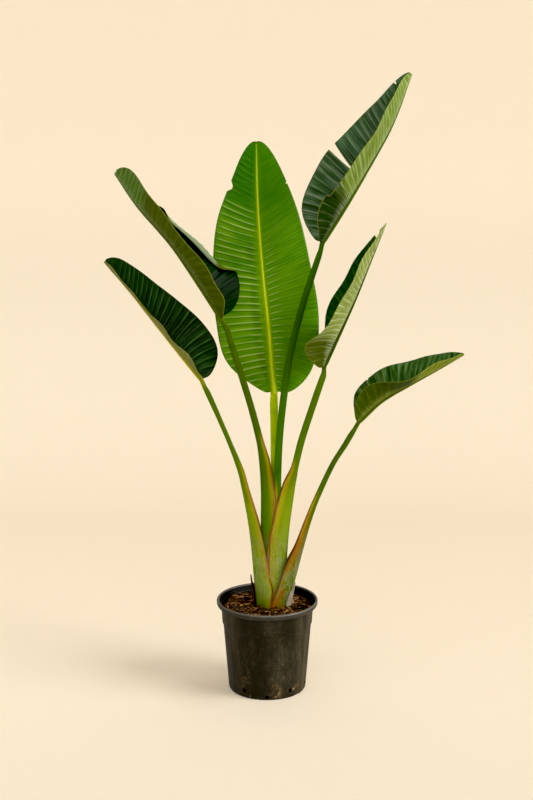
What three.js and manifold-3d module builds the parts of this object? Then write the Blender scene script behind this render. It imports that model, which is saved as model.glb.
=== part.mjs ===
// A bird of paradise plant, about 1.44 m tall, in a 24 cm nursery pot.
// Millimetres, +Z up. The origin is the centre of the pot's foot, on the floor.
// The front of the plant faces -Y, and +X is to the right.

import * as THREE from 'three';
import { mergeVertices } from 'three/addons/utils/BufferGeometryUtils.js';
import Module from 'manifold-3d';

const wasm = await Module();
wasm.setup();

const plant = new THREE.Group();
const UP = new THREE.Vector3(0, 0, 1);

// --- driving dimensions -----------------------------------------------------

const RIM_RADIUS = 120;          // outside of the pot's rolled lip
const POT_HEIGHT = 220;
const LIP_HEIGHT = 14;
const WALL_TOP_RADIUS = 109.3;   // wall just under the lip
const STEP_HEIGHT = 163;         // shoulder line round the wall
const FOOT_RADIUS = 91.6;
const POT_WALL = 2;
const ROUND_SIDES = 40;

const DRAIN_HOLES = 10;
const DRAIN_RADIUS = 4.5;
const DRAIN_LOW = 8;             // every fifth drain hole, the others are higher
const DRAIN_HIGH = 19;

const SOIL_TOP = 202;            // soil level beside the pot wall
const SOIL_MOUND = 3.5;          // how far it rises round the stems
const SOIL_GAP = 0.4;            // clearance between soil and pot
const BARK_CHIPS = 40;

const STEM_FOOT = 172;           // the stems stand this high above the floor, in the soil
const STEM_GAP = 0.6;

const BLADE_THICKNESS = 1;
const RIB_GAP = 0.8;             // between a blade and its midrib
const SHEATH_ARM = 2;            // thickness of a sheath's thin sides
const RIB_END = 0.93;            // share of the blade's length that the midrib reaches
const MARGIN_WAVE = 3;           // how far a blade's edge waves out of its plane
const BLADE_ROWS = 19;
const HALF_COLUMNS = 4;
const SECTION_POINTS = 8;        // points across each face of a stalk's section

// --- leaves -----------------------------------------------------------------
// stalk rows: height, back, margin, side, half width, wall. The section of a stalk is
// horizontal and opens away from its back: 'back' and 'margin' are measured along the
// back direction's own axis (x, or y for the middle leaf), 'side' along the other one.
// rib: points of the midrib. up: directions that the upper face looks in, base to tip.
// halves: at even steps from base to tip, width in mm, angle of the blade from 'up' at
// the midrib, how much that angle changes toward the margin, and how far the margin leans
// toward the tip as a share of the width.

const leaves = [
  {
    name: 'leaf_centre',
    back: [0, 1, 0],
    turnFrom: 640,
    stalk: [
      [172, 10.4, 0.6, 9, 12, 8], [215, 10.4, 0.6, 9, 12, 8], [310, 10.4, 0.6, 10, 11.5, 8],
      [402, 10.4, 0.6, 11, 10.5, 8], [469, 10.4, 0.4, 13, 9, 8.5], [527, 9.4, -1.8, 16.4, 8, 10],
      [560, 16, 4, 16, 8, 11], [597, 27, 14, 16, 8.2, 12], [650, 31, 17, 16, 8.8, 13],
      [690, 34, 19.5, 15.5, 9.4, 13.5], [710, 34.6, 21, 15.8, 8.2, 12.6],
    ],
    rib: [[16, 28, 716], [3, 38, 861], [-12, 52, 1004], [-22, 72, 1145], [-25, 100, 1287]],
    up: [[0, -1, 0.1], [0, -1, 0.1], [0, -1, 0.2]],
    ribRadius: 4.8,
    halves: [
      {
        side: -1, width: [49, 108, 118, 117, 111, 87, 78], open: 80,
        curl: 12, lean: [0.04, -0.01, 0.01, 0.03, -0.03, -0.01, 0.1],
      },
      {
        side: 1, width: [70, 103, 118, 114, 109, 94, 82], open: 80,
        curl: 12, lean: [-0.2, -0.25, -0.08, 0, 0.02, 0.08, 0.18],
      },
    ],
    tears: [{ side: -1, at: 0.737, from: 0.75, gap: 0.012 }],
    colour: '#3f7d12',
  },
  {
    name: 'leaf_upper_right',
    back: [1, 0, 0],
    turnFrom: 900,
    stalk: [
      [172, 33.6, 8, -5.6, 4.9, 23], [215, 33.6, 8, -5.6, 4.9, 23], [310, 33.6, 9, -5.6, 4.9, 22],
      [402, 34.5, 11, -5.6, 4.8, 21], [440, 34.5, 14, -5.7, 4.6, 18], [469, 33.4, 18.8, -6, 4.7, 14],
      [500, 32.8, 17.5, -9.5, 7.3, 15], [548, 33.5, 16.5, -12.5, 8.3, 16], [606, 36, 19.5, -15, 8.4, 15.5],
      [676, 42, 25.5, -18, 8.3, 15.5], [784, 55.5, 39.5, -22, 8, 15], [870, 73, 57.5, -24, 7.8, 14.5],
      [946, 93, 78.5, -26, 7.4, 13.5], [1010, 113, 99.5, -28, 6.8, 12.5], [1045, 124, 111.5, -29, 6.4, 11.5],
    ],
    rib: [[123, -30, 1068], [177, -34, 1154], [228, -30, 1241], [277, -20, 1329], [321, 2, 1441]],
    up: [[-0.85, 0, 0.5], [-0.86, 0, 0.5], [-0.88, 0, 0.47]],
    ribRadius: 5.2,
    halves: [
      {
        side: 1, width: [47, 97, 99, 106, 99, 89, 86], open: [74, 63, 63, 71, 68, 63, 46],
        curl: -6, lean: [0.08, -0.02, 0.04, -0.02, -0.1, -0.19, -0.39],
      },
      {
        side: -1, width: [45, 101, 105, 91, 80, 69, 62], open: [45, 38, 27, 23, 22, 23, 28],
        curl: -6, lean: [-0.3, -0.11, 0.21, 0.27, 0.27, 0.26, 0.25],
      },
    ],
    tears: [{ side: -1, at: 0.42, from: 0.25, gap: 0.019 }],
    colour: '#2f6113',
  },
  {
    name: 'leaf_mid_right',
    back: [1, 0, 0],
    turnFrom: 620,
    stalk: [
      [172, 45.5, 3, 0, 21.4, 8], [215, 45.5, 3, 0, 21.4, 8], [260, 46, 2, 0, 20.2, 8],
      [327, 47.5, 1, 0, 18.3, 8], [366, 50, 5, 0, 17.6, 8], [408, 54, 13, 0, 17, 8.5],
      [453, 60, 23, 0, 14.6, 9.5], [498, 66, 35.6, -2, 11.2, 11], [522, 70, 46, -3, 10, 12],
      [548, 74, 57, -5, 8.6, 14], [614, 89, 73, -12, 8, 14.5], [703, 115, 100, -25, 7.6, 14],
      [750, 129, 115, -34, 7, 12.5], [770, 135, 122, -37, 6.5, 12],
    ],
    rib: [[129, -40, 788], [164, -50, 869], [197.5, -62, 949], [227.5, -72, 1028], [263, -80, 1119]],
    up: [[-0.9, 0, 0.43], [-0.9, 0, 0.43], [-0.92, 0, 0.4]],
    ribRadius: 4.8,
    halves: [
      {
        side: 1, width: [53, 93, 91, 89, 85, 78, 78], open: [66, 49, 62, 70, 70, 71, 76],
        curl: -6, lean: [0.01, -0.11, -0.18, -0.12, -0.12, -0.13, -0.08],
      },
      {
        side: -1, width: [68, 79, 66, 65, 66, 60, 34], open: [88, 82, 55, 56, 63, 68, 85],
        curl: -6, lean: [-0.27, -0.17, -0.17, -0.07, -0.02, -0.01, -0.04],
      },
    ],
    tears: [],
    colour: '#38651a',
  },
  {
    name: 'leaf_low_right',
    back: [1, 0, 0],
    turnFrom: 560,
    stalk: [
      [172, 57, 11.4, 0, 27, 7.6], [215, 57, 11.4, 0, 27, 7.6], [255, 64, 28, 0, 25, 8],
      [303, 75.5, 43, -1, 21.5, 8.5], [350, 87, 65, -1.5, 16, 9.5], [399, 100, 83, -2, 11, 11],
      [436, 111.5, 96.5, -3, 8.4, 12], [470, 123.5, 110, -5, 7, 11.5], [548, 157, 144.5, -10, 6.5, 11],
      [600, 185.5, 173.5, -18, 6.3, 11], [630, 201.5, 190, -22, 6, 10.5],
    ],
    rib: [[209, -25, 654], [262, -35, 707], [322.5, -45, 746], [385, -50, 782.5], [447, -50, 818]],
    up: [[-0.6, 0, 0.8], [-0.5, 0, 0.87], [-0.5, 0, 0.87]],
    ribRadius: 4.4,
    halves: [
      {
        side: 1, width: [74, 78, 81, 89, 77, 67, 54], open: [53, 46, 52, 74, 65, 67, 58],
        curl: -5, lean: [0.59, 0.32, 0.21, 0.13, -0.06, -0.12, -0.21],
      },
      {
        side: -1, width: [45, 68, 72, 71, 64, 58, 40], open: [63, 50, 46, 53, 60, 60, 60],
        curl: -5, lean: [-0.05, -0.11, -0.1, -0.02, -0.01, -0.02, -0.09],
      },
    ],
    tears: [],
    colour: '#3b6418',
  },
  {
    name: 'leaf_upper_left',
    back: [-1, 0, 0],
    turnFrom: 700,
    stalk: [
      [172, -16.5, 12, 0, 17.4, 7], [215, -16.5, 12, 0, 17.4, 7], [285, -16, 13, 0, 15.4, 7],
      [333, -16, 14, 0, 14.3, 7], [402, -15.5, 15.5, 0, 13.7, 8], [469, -15, 18, 0, 13.2, 8],
      [500, -15.8, 15.2, 0, 13, 9], [527, -17, 10.8, 0, 12.5, 10], [560, -19.5, 5.8, -5, 11.4, 11],
      [584, -22, -1.5, -8, 10.2, 12], [612, -26.5, -9.5, -11, 9, 14], [688, -44.5, -29, -20, 8, 14],
      [779, -70, -55.5, -32, 7.6, 13], [842, -88.5, -74.5, -42, 7.2, 13], [880, -99, -86.5, -47, 6.6, 12],
    ],
    rib: [[-105, -50, 902], [-159, -60, 988], [-216, -68, 1072], [-283.5, -72, 1150], [-336.5, -72, 1226]],
    up: [[0.75, 0, 0.62], [0.78, 0, 0.62], [0.85, 0, 0.5]],
    ribRadius: 5,
    halves: [
      {
        side: -1, width: [54, 91, 103, 102, 103, 122, 176], open: [72, 68, 67, 68, 63, 55, 50],
        curl: -5, lean: [0.19, -0.05, -0.21, -0.25, -0.22, -0.24, -0.04],
      },
      { side: 1, width: [74, 95, 79, 78, 82, 76, 60], open: [20, 30, 55, 69, 80, 78, 72], curl: -5 },
    ],
    tears: [],
    colour: '#33591a',
  },
  {
    name: 'leaf_low_left',
    back: [-1, 0, 0],
    turnFrom: 620,
    stalk: [
      [172, -27, 10.6, 0, 27, 7.6], [215, -27, 10.6, 0, 27, 7.6], [250, -30, 14, 0, 25.5, 7.6],
      [285, -33, 5, 0, 23, 8], [324, -36, -2, 0, 20, 8.5], [366, -40, -10, 0, 17.5, 9],
      [406, -45, -18.5, 0, 15, 10], [446, -51.5, -30, 0, 12.5, 11], [493, -60.5, -43.5, 0, 9.5, 13],
      [535, -70, -55, 0, 8, 13], [590, -89.5, -78, 5, 7, 11], [643, -111.5, -100.5, 10, 6.6, 10.5],
      [690, -132, -120.5, 15, 6.3, 11], [722, -147, -135.5, 18, 6, 10.5],
    ],
    rib: [[-152, 20, 745], [-207, 25, 813], [-262, 30, 882], [-317, 36, 951], [-377, 40, 1018]],
    up: [[0.74, 0, 0.66], [0.75, 0, 0.66], [0.76, 0, 0.65]],
    ribRadius: 4.6,
    halves: [
      {
        side: -1, width: [45, 67, 76, 71, 64, 60, 57], open: [75, 73, 78, 78, 81, 75, 66],
        curl: -5, lean: [0.29, 0.35, 0.25, 0.12, 0.02, -0.04, -0.08],
      },
      {
        side: 1, width: [41, 77, 84, 74, 66, 67, 88], open: [33, 21, 17, 19, 23, 24, 22],
        curl: -5, lean: [-0.33, -0.22, -0.07, 0.03, 0.05, 0, -0.09],
      },
    ],
    tears: [],
    colour: '#244d12',
  },
];

// --- small helpers ------------------------------------------------------------

const vector = (values) => new THREE.Vector3(...values);

// Smooth (Catmull-Rom) reading of rows of numbers at the fractional row u.
function through(rows, u) {
  const i = Math.min(Math.floor(u), rows.length - 2);
  const f = u - i;
  const b = rows[i];
  const c = rows[i + 1];
  const a = rows[i - 1] ?? b.map((value, k) => 2 * value - c[k]);
  const d = rows[i + 2] ?? c.map((value, k) => 2 * value - b[k]);
  return b.map((_, k) => 0.5 * (2 * b[k] + (c[k] - a[k]) * f
    + (2 * a[k] - 5 * b[k] + 4 * c[k] - d[k]) * f * f
    + (3 * b[k] - a[k] - 3 * c[k] + d[k]) * f ** 3));
}

function along(values, t) {
  if (typeof values === 'number') return values;
  return through(values.map((value) => [value]), t * (values.length - 1))[0];
}

const smoothstep = (x) => THREE.MathUtils.smoothstep(x, 0, 1);

function addPart(name, geometry, colour, roughness) {
  geometry.computeVertexNormals();
  const material = new THREE.MeshStandardMaterial({ color: colour, roughness, metalness: 0 });
  material.name = name;
  const mesh = new THREE.Mesh(geometry, material);
  mesh.name = name;
  plant.add(mesh);
}

function geometryOf(points, triangles) {
  const geometry = new THREE.BufferGeometry();
  const numbers = points.flatMap((point) => point.toArray());
  geometry.setAttribute('position', new THREE.Float32BufferAttribute(numbers, 3));
  geometry.setIndex(triangles);
  return geometry;
}

function toSolid(geometry) {
  const bare = geometry.clone();
  bare.deleteAttribute('normal');
  bare.deleteAttribute('uv');
  const merged = mergeVertices(bare, 1e-3);
  return new wasm.Manifold(new wasm.Mesh({
    numProp: 3,
    vertProperties: new Float32Array(merged.attributes.position.array),
    triVerts: new Uint32Array(merged.index.array),
  }));
}

function toGeometry(solid) {
  const mesh = solid.getMesh();
  const geometry = new THREE.BufferGeometry();
  geometry.setAttribute('position', new THREE.BufferAttribute(new Float32Array(mesh.vertProperties), 3));
  geometry.setIndex(new THREE.BufferAttribute(new Uint32Array(mesh.triVerts), 1));
  return geometry;
}

// --- stalks: sheath, petiole and midrib in one body ----------------------------

// One ring of a stalk: an outer half-ellipse and an inner one, from margin to margin.
function section(place, back, side, deep, half, wall, arm) {
  const outer = [];
  const inner = [];
  for (let k = 0; k < SECTION_POINTS; k += 1) {
    const phi = Math.PI * (k / (SECTION_POINTS - 1) - 0.5);
    outer.push(place.clone().addScaledVector(back, deep * Math.cos(phi))
      .addScaledVector(side, half * Math.sin(phi)));
    inner.push(place.clone().addScaledVector(back, (deep - wall) * Math.cos(phi))
      .addScaledVector(side, (half - arm) * Math.sin(phi)));
  }
  return [...outer, ...inner.reverse()];
}

// Skins rings of equal point counts, and closes both ends between their outer and inner halves.
function loft(rings) {
  const count = rings[0].length;
  const triangles = [];
  for (let r = 0; r + 1 < rings.length; r += 1) {
    for (let k = 0; k < count; k += 1) {
      const next = (k + 1) % count;
      const [a, b, c, d] = [r * count + k, r * count + next, (r + 1) * count + next, (r + 1) * count + k];
      triangles.push(a, b, c, a, c, d);
    }
  }
  const last = (rings.length - 1) * count;
  for (let k = 0; k + 1 < count / 2; k += 1) {
    const [a, b, c, d] = [k, k + 1, count - 2 - k, count - 1 - k];
    triangles.push(a, c, b, a, d, c);
    triangles.push(last + a, last + b, last + c, last + a, last + c, last + d);
  }
  return outward(geometryOf(rings.flat(), triangles));
}

function outward(geometry) {
  const index = geometry.index.array;
  const at = (i) => new THREE.Vector3().fromBufferAttribute(geometry.attributes.position, i);
  let volume = 0;
  for (let i = 0; i < index.length; i += 3) {
    volume += at(index[i]).dot(at(index[i + 1]).cross(at(index[i + 2])));
  }
  if (volume > 0) return geometry;
  const flipped = [];
  for (let i = 0; i < index.length; i += 3) flipped.push(index[i], index[i + 2], index[i + 1]);
  geometry.setIndex(flipped);
  return geometry;
}

const ribPoint = (leaf, t) => vector(through(leaf.rib, t * (leaf.rib.length - 1)));

// Axes of the blade at the share t of its length: along the rib, up from it, and sideways.
function bladeAxes(leaf, t) {
  const step = 1e-3;
  const ahead = ribPoint(leaf, Math.min(t + step, 1)).sub(ribPoint(leaf, Math.max(t - step, 0))).normalize();
  const lift = vector(through(leaf.up, t * (leaf.up.length - 1)));
  lift.addScaledVector(ahead, -lift.dot(ahead)).normalize();
  return { ahead, lift, side: ahead.clone().cross(lift) };
}

const ribRadius = (leaf, t) => 0.9 + leaf.ribRadius * Math.max(0, 1 - t / RIB_END) ** 0.75;

function stalkRings(leaf) {
  const first = vector(leaf.back);
  const start = bladeAxes(leaf, 0);
  const base = ribPoint(leaf, 0).z;
  const rings = leaf.stalk.map(([height, back, margin, side, half, wall]) => {
    const turn = smoothstep((height - leaf.turnFrom) / (base - leaf.turnFrom));
    const axis = UP.clone().lerp(start.ahead, turn).normalize();
    const behind = first.clone().lerp(start.lift.clone().negate(), turn);
    behind.addScaledVector(axis, -behind.dot(axis)).normalize();
    const place = first.x ? new THREE.Vector3(margin, side, height) : new THREE.Vector3(side, margin, height);
    const arm = Math.min(SHEATH_ARM, half * 0.3);
    return section(place, behind, axis.clone().cross(behind), Math.abs(back - margin), half, wall, arm);
  });
  for (const t of [0, 0.06, 0.14, 0.24, 0.36, 0.48, 0.6, 0.72, 0.83, RIB_END]) {
    const { ahead, lift } = bladeAxes(leaf, t);
    const behind = lift.clone().negate();
    const radius = ribRadius(leaf, t);
    const across = ahead.clone().cross(behind);
    rings.push(section(ribPoint(leaf, t), behind, across, radius, radius, 1.9 * radius, 0.25 * radius));
  }
  return rings;
}

// --- blades -------------------------------------------------------------------

// Outline of a blade: blunt at the base, drawn out at the tip.
const outline = (t) => Math.sqrt(1 - (1 - t) ** 9) * Math.max(0, 1 - t ** 3.2) ** 0.62;

// The side veins lean back at the base of the blade and sweep forward toward its tip.
const sweep = (t) => -0.25 + 0.9 * t ** 1.5 - 0.35 * t ** 8;

function bladePoint(leaf, half, t, v) {
  const { ahead, lift, side } = bladeAxes(leaf, t);
  const open = along(half.open, t);
  const width = along(half.width, t) * outline(t);
  const heading = (share) => {
    const angle = THREE.MathUtils.degToRad(open + half.curl * share ** 1.3);
    return lift.clone().multiplyScalar(Math.cos(angle)).addScaledVector(side, half.side * Math.sin(angle));
  };
  const point = ribPoint(leaf, t).addScaledVector(heading(0), ribRadius(leaf, t) + RIB_GAP);
  const steps = 8;
  for (let k = 0; k < steps; k += 1) point.addScaledVector(heading(v * (k + 0.5) / steps), width * v / steps);
  const wave = MARGIN_WAVE * v * v * Math.sin(24 * t + 2 * half.side) * outline(t);
  const across = heading(v).cross(ahead).multiplyScalar(half.side);
  const lean = sweep(t) + along(half.lean ?? 0, t);
  return point.addScaledVector(across, wave).addScaledVector(ahead, width * lean * v ** 1.4);
}

function bladeRows(leaf) {
  const rows = [];
  for (let r = 0; r < BLADE_ROWS; r += 1) {
    const u = r / (BLADE_ROWS - 1);
    const eased = 0.5 * u + 0.25 * (1 - Math.cos(Math.PI * u));
    rows.push({ t: 0.015 + 0.979 * eased });
  }
  for (const tear of leaf.tears) {
    rows.push({ t: tear.at - 0.002, tear, pull: -1 }, { t: tear.at + 0.002, tear, pull: 1 });
  }
  return rows.sort((a, b) => a.t - b.t);
}

function bladeGeometry(leaf) {
  const rows = bladeRows(leaf);
  const [minus, plus] = [-1, 1].map((side) => leaf.halves.find((half) => half.side === side));
  const columns = [];
  for (let c = HALF_COLUMNS; c >= 0; c -= 1) columns.push({ half: minus, v: c / HALF_COLUMNS });
  for (let c = 0; c <= HALF_COLUMNS; c += 1) columns.push({ half: plus, v: c / HALF_COLUMNS });

  const grid = rows.map((row) => columns.map(({ half, v }) => {
    const torn = row.tear && row.tear.side === half.side && v > row.tear.from;
    const pull = torn ? row.pull * row.tear.gap * (v - row.tear.from) / (1 - row.tear.from) : 0;
    return bladePoint(leaf, half, row.t + pull, v);
  }));

  // The upper face's direction at each point, read within its own half.
  const facing = (r, c) => {
    const inside = c <= HALF_COLUMNS ? [0, HALF_COLUMNS] : [HALF_COLUMNS + 1, columns.length - 1];
    const across = grid[r][Math.min(c + 1, inside[1])].clone().sub(grid[r][Math.max(c - 1, inside[0])]);
    const ahead = grid[Math.min(r + 1, rows.length - 1)][c].clone().sub(grid[Math.max(r - 1, 0)][c]);
    return across.cross(ahead).normalize();
  };
  const points = [];
  for (const lift of [BLADE_THICKNESS / 2, -BLADE_THICKNESS / 2]) {
    grid.forEach((row, r) => row.forEach((point, c) => {
      points.push(point.clone().addScaledVector(facing(r, c), lift));
    }));
  }

  const isOpen = (r, c) => {
    if (c === HALF_COLUMNS) return rows[r].t < RIB_END + 0.015;
    const tear = rows[r].pull === -1 ? rows[r].tear : undefined;
    if (!tear) return false;
    const { half, v } = c < HALF_COLUMNS ? columns[c + 1] : columns[c];
    return tear.side === half.side && v >= tear.from;
  };
  const under = rows.length * columns.length;
  const id = (r, c) => r * columns.length + c;
  const triangles = [];
  const edges = new Map();
  for (let r = 0; r + 1 < rows.length; r += 1) {
    for (let c = 0; c + 1 < columns.length; c += 1) {
      if (isOpen(r, c)) continue;
      const corner = [id(r, c), id(r, c + 1), id(r + 1, c + 1), id(r + 1, c)];
      const [a, b, d, e] = corner;
      triangles.push(a, b, d, a, d, e, a + under, d + under, b + under, a + under, e + under, d + under);
      corner.forEach((from, k) => edges.set(`${from} ${corner[(k + 1) % 4]}`, [from, corner[(k + 1) % 4]]));
    }
  }
  for (const [a, b] of edges.values()) {
    if (edges.has(`${b} ${a}`)) continue;
    triangles.push(a, a + under, b + under, a, b + under, b);
  }
  return geometryOf(points, triangles);
}

for (const leaf of leaves) {
  addPart(`${leaf.name}_stalk`, loft(stalkRings(leaf)), '#6f8d2c', 0.5);
  addPart(`${leaf.name}_blade`, bladeGeometry(leaf), leaf.colour, 0.4);
}

// --- dried sheath remnants, standing on the soil against the outer sheaths -----

const REMNANT_FOOT = SOIL_TOP + SOIL_MOUND + 0.5;

// A curled strip that follows the outside of one leaf's base and narrows toward its top.
// 'foot' and 'top' are its distances from the sheath at its two ends.
function remnant(leaf, { height, from, to, thickness, foot, top }) {
  const middle = (from + to) / 2;
  const rings = [];
  for (let r = 0; r < 5; r += 1) {
    const z = REMNANT_FOOT + (height * r) / 4;
    const i = leaf.stalk.findLastIndex((row) => row[0] <= z);
    const [below, above] = [leaf.stalk[i], leaf.stalk[i + 1]];
    const share = (z - below[0]) / (above[0] - below[0]);
    const [, back, margin, side, half] = below.map((value, k) => value + (above[k] - value) * share);
    const spread = (to - from) * (1 - 0.7 * (r / 4) ** 2);
    const away = foot + (top - foot) * (r / 4);
    const arc = (gap) => Array.from({ length: 6 }, (_, k) => {
      const phi = THREE.MathUtils.degToRad(middle + spread * (k / 5 - 0.5));
      const deep = (Math.abs(back - margin) + gap) * Math.cos(phi);
      return new THREE.Vector3(margin + leaf.back[0] * deep, side + (half + gap) * Math.sin(phi), z);
    });
    rings.push([...arc(away + thickness), ...arc(away).reverse()]);
  }
  return loft(rings);
}

const husks = [
  {
    name: 'dry_sheath_left', leaf: 'leaf_low_left', colour: '#3a2415',
    height: 75, from: -36, to: 16, thickness: 1.2, foot: 8, top: 5.6,
  },
  {
    name: 'dry_sheath_right', leaf: 'leaf_low_right', colour: '#b5a78a',
    height: 60, from: -45, to: 10, thickness: 1.6, foot: 0.9, top: 0.9,
  },
];
const leafNamed = (name) => leaves.find((leaf) => leaf.name === name);
for (const husk of husks) {
  addPart(husk.name, remnant(leafNamed(husk.leaf), husk), husk.colour, 0.85);
}

// --- pot ----------------------------------------------------------------------

const STEP_RADIUS = 105;
const FOOT_ROUND = 3;

// Outer radius of the pot's wall below the lip at a height.
function wallRadius(height) {
  if (height < STEP_HEIGHT) return FOOT_RADIUS + (STEP_RADIUS - FOOT_RADIUS) * height / STEP_HEIGHT;
  const share = (height - STEP_HEIGHT) / (POT_HEIGHT - LIP_HEIGHT - STEP_HEIGHT);
  return STEP_RADIUS + 1 + (WALL_TOP_RADIUS - STEP_RADIUS - 1) * share;
}

function potGeometry() {
  const lipFoot = POT_HEIGHT - LIP_HEIGHT;
  const inside = RIM_RADIUS - 6;
  const profile = [
    [0, 0], [FOOT_RADIUS - FOOT_ROUND, 0], [FOOT_RADIUS, FOOT_ROUND],
    [wallRadius(STEP_HEIGHT - 1), STEP_HEIGHT - 1],
    [wallRadius(STEP_HEIGHT), STEP_HEIGHT + 1], [WALL_TOP_RADIUS, lipFoot],
    [RIM_RADIUS - 4, lipFoot + 1], [RIM_RADIUS - 1, lipFoot + 5], [RIM_RADIUS, POT_HEIGHT - 3],
    [RIM_RADIUS - 1, POT_HEIGHT - 0.8], [RIM_RADIUS - 3, POT_HEIGHT], [inside + 1, POT_HEIGHT - 0.8],
    [inside, POT_HEIGHT - 3], [WALL_TOP_RADIUS - POT_WALL, lipFoot - 4],
    [wallRadius(STEP_HEIGHT) - POT_WALL, STEP_HEIGHT - 2], [FOOT_RADIUS - POT_WALL, FOOT_ROUND + 1],
    [FOOT_RADIUS - POT_WALL - 2, POT_WALL + 0.5], [0, POT_WALL + 0.5],
  ];
  const body = new THREE.LatheGeometry(profile.map(([r, z]) => new THREE.Vector2(r, z)), ROUND_SIDES);
  body.rotateX(Math.PI / 2);
  let pot = toSolid(outward(mergedOf(body)));
  for (let k = 0; k < DRAIN_HOLES; k += 1) {
    const drill = new THREE.CylinderGeometry(DRAIN_RADIUS, DRAIN_RADIUS, 20, 10);
    drill.translate(0, -FOOT_RADIUS, 0);
    drill.rotateZ((k * 2 * Math.PI) / DRAIN_HOLES);
    drill.translate(0, 0, k % 5 === 0 ? DRAIN_LOW : DRAIN_HIGH);
    pot = pot.subtract(toSolid(drill));
  }
  return toGeometry(pot);
}

function mergedOf(geometry) {
  geometry.deleteAttribute('normal');
  geometry.deleteAttribute('uv');
  return mergeVertices(geometry, 1e-3);
}

addPart('pot', potGeometry(), '#1d1d1c', 0.55);

// --- soil -----------------------------------------------------------------------

const STEM_CENTRE = (-27 + 57) / 2;
const STEM_FLAT = 10;            // level ground kept round the stems

// Height of the soil's surface, with its small lumps.
function soilHeight(x, y) {
  const away = Math.hypot(x - STEM_CENTRE, y * 1.3);
  const level = smoothstep((away - 42 - STEM_FLAT) / 30);
  const edge = 1 - smoothstep((Math.hypot(x, y) - 88) / 16);
  const lumps = 1.6 * Math.sin(x / 7.3 + 1.2 * Math.sin(y / 11)) * Math.sin(y / 6.1 + x / 19)
    + 0.9 * Math.sin(x / 3.7 - y / 4.9);
  return SOIL_TOP + SOIL_MOUND * (1 - level) + lumps * level * edge;
}

function soilBody() {
  const clear = POT_WALL + SOIL_GAP;
  const foot = POT_WALL + 0.9;
  const rings = [
    [foot, FOOT_RADIUS - clear - 3], [FOOT_ROUND + 6, FOOT_RADIUS - clear],
    [STEP_HEIGHT - 4, wallRadius(STEP_HEIGHT) - clear - 1], [SOIL_TOP - 6, WALL_TOP_RADIUS - clear - 1],
  ];
  const points = [new THREE.Vector3(0, 0, foot)];
  const triangles = [];
  const ringAt = (radius, height) => {
    for (let k = 0; k < ROUND_SIDES; k += 1) {
      const angle = (2 * Math.PI * k) / ROUND_SIDES;
      const [x, y] = [radius * Math.cos(angle), radius * Math.sin(angle)];
      points.push(new THREE.Vector3(x, y, height ?? soilHeight(x, y)));
    }
  };
  rings.forEach(([height, radius]) => ringAt(radius, height));
  const topRadius = WALL_TOP_RADIUS - clear - 0.6;
  const topRings = [1, 0.93, 0.83, 0.72, 0.6, 0.42, 0.2];
  topRings.forEach((share) => ringAt(topRadius * share));
  points.push(new THREE.Vector3(0, 0, soilHeight(0, 0)));
  const count = rings.length + topRings.length;
  for (let k = 0; k < ROUND_SIDES; k += 1) {
    const next = (k + 1) % ROUND_SIDES;
    triangles.push(0, 1 + next, 1 + k);
    for (let r = 0; r + 1 < count; r += 1) {
      const [a, b] = [1 + r * ROUND_SIDES + k, 1 + r * ROUND_SIDES + next];
      triangles.push(a, b, b + ROUND_SIDES, a, b + ROUND_SIDES, a + ROUND_SIDES);
    }
    const top = 1 + (count - 1) * ROUND_SIDES;
    triangles.push(top + k, top + next, points.length - 1);
  }
  return outward(geometryOf(points, triangles));
}

// A repeatable stream of numbers from 0 to 1.
function seeded(seed) {
  let state = seed;
  return () => {
    state = (state * 1664525 + 1013904223) % 4294967296;
    return state / 4294967296;
  };
}

// Bark chips: slim six-sided slabs lying in the surface, sunk to about half their height.
function withChips(ground) {
  const random = seeded(7);
  const chips = [];
  while (chips.length < BARK_CHIPS) {
    const angle = random() * 2 * Math.PI;
    const radius = 96 * Math.sqrt(random());
    const [x, y] = [radius * Math.cos(angle), radius * Math.sin(angle)];
    const length = 7 + 15 * random() ** 2;
    const turn = random() * Math.PI;
    const tilt = 0.5 * (random() - 0.5);
    if (Math.hypot((x - STEM_CENTRE) / 62, y / 46) < 1) continue;
    const chip = new THREE.CylinderGeometry(0.5, 0.62, 1, 6);
    chip.rotateX(Math.PI / 2);
    chip.scale(length, 3 + 4 * random(), 4);
    chip.rotateY(tilt);
    chip.rotateZ(turn);
    chip.translate(x, y, soilHeight(x, y) + 0.4);
    chips.push(toSolid(chip));
  }
  return ground.add(wasm.Manifold.union(chips));
}

// The plain hole that the stems stand in, a little larger than the two outer sheaths together.
function stemHole() {
  const [left, right] = ['leaf_low_left', 'leaf_low_right'].map((name) => leafNamed(name).stalk[0]);
  const seam = (left[2] + right[2]) / 2;
  const half = right[4] + STEM_GAP;
  const steps = 40;
  const points = Array.from({ length: steps }, (_, k) => {
    const angle = (2 * Math.PI * k) / steps;
    const reach = (Math.cos(angle) > 0 ? right[1] - seam : seam - left[1]) + STEM_GAP;
    return new THREE.Vector2(seam + reach * Math.cos(angle), half * Math.sin(angle));
  });
  const depth = POT_HEIGHT - STEM_FOOT;
  const hole = new THREE.ExtrudeGeometry(new THREE.Shape(points), { depth, bevelEnabled: false });
  hole.translate(0, 0, STEM_FOOT - 0.3);
  return toSolid(hole);
}

addPart('soil', toGeometry(withChips(toSolid(soilBody())).subtract(stemHole())), '#33271d', 0.95);

export default plant;
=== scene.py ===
# Potted bird of paradise: finished pieces, materials, light and camera.
# Metres, +Z up. The front of the plant faces -Y. Leaf tables are in millimetres.
import math
import random
from contextlib import contextmanager

import bpy
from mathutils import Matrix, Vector, noise


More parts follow.
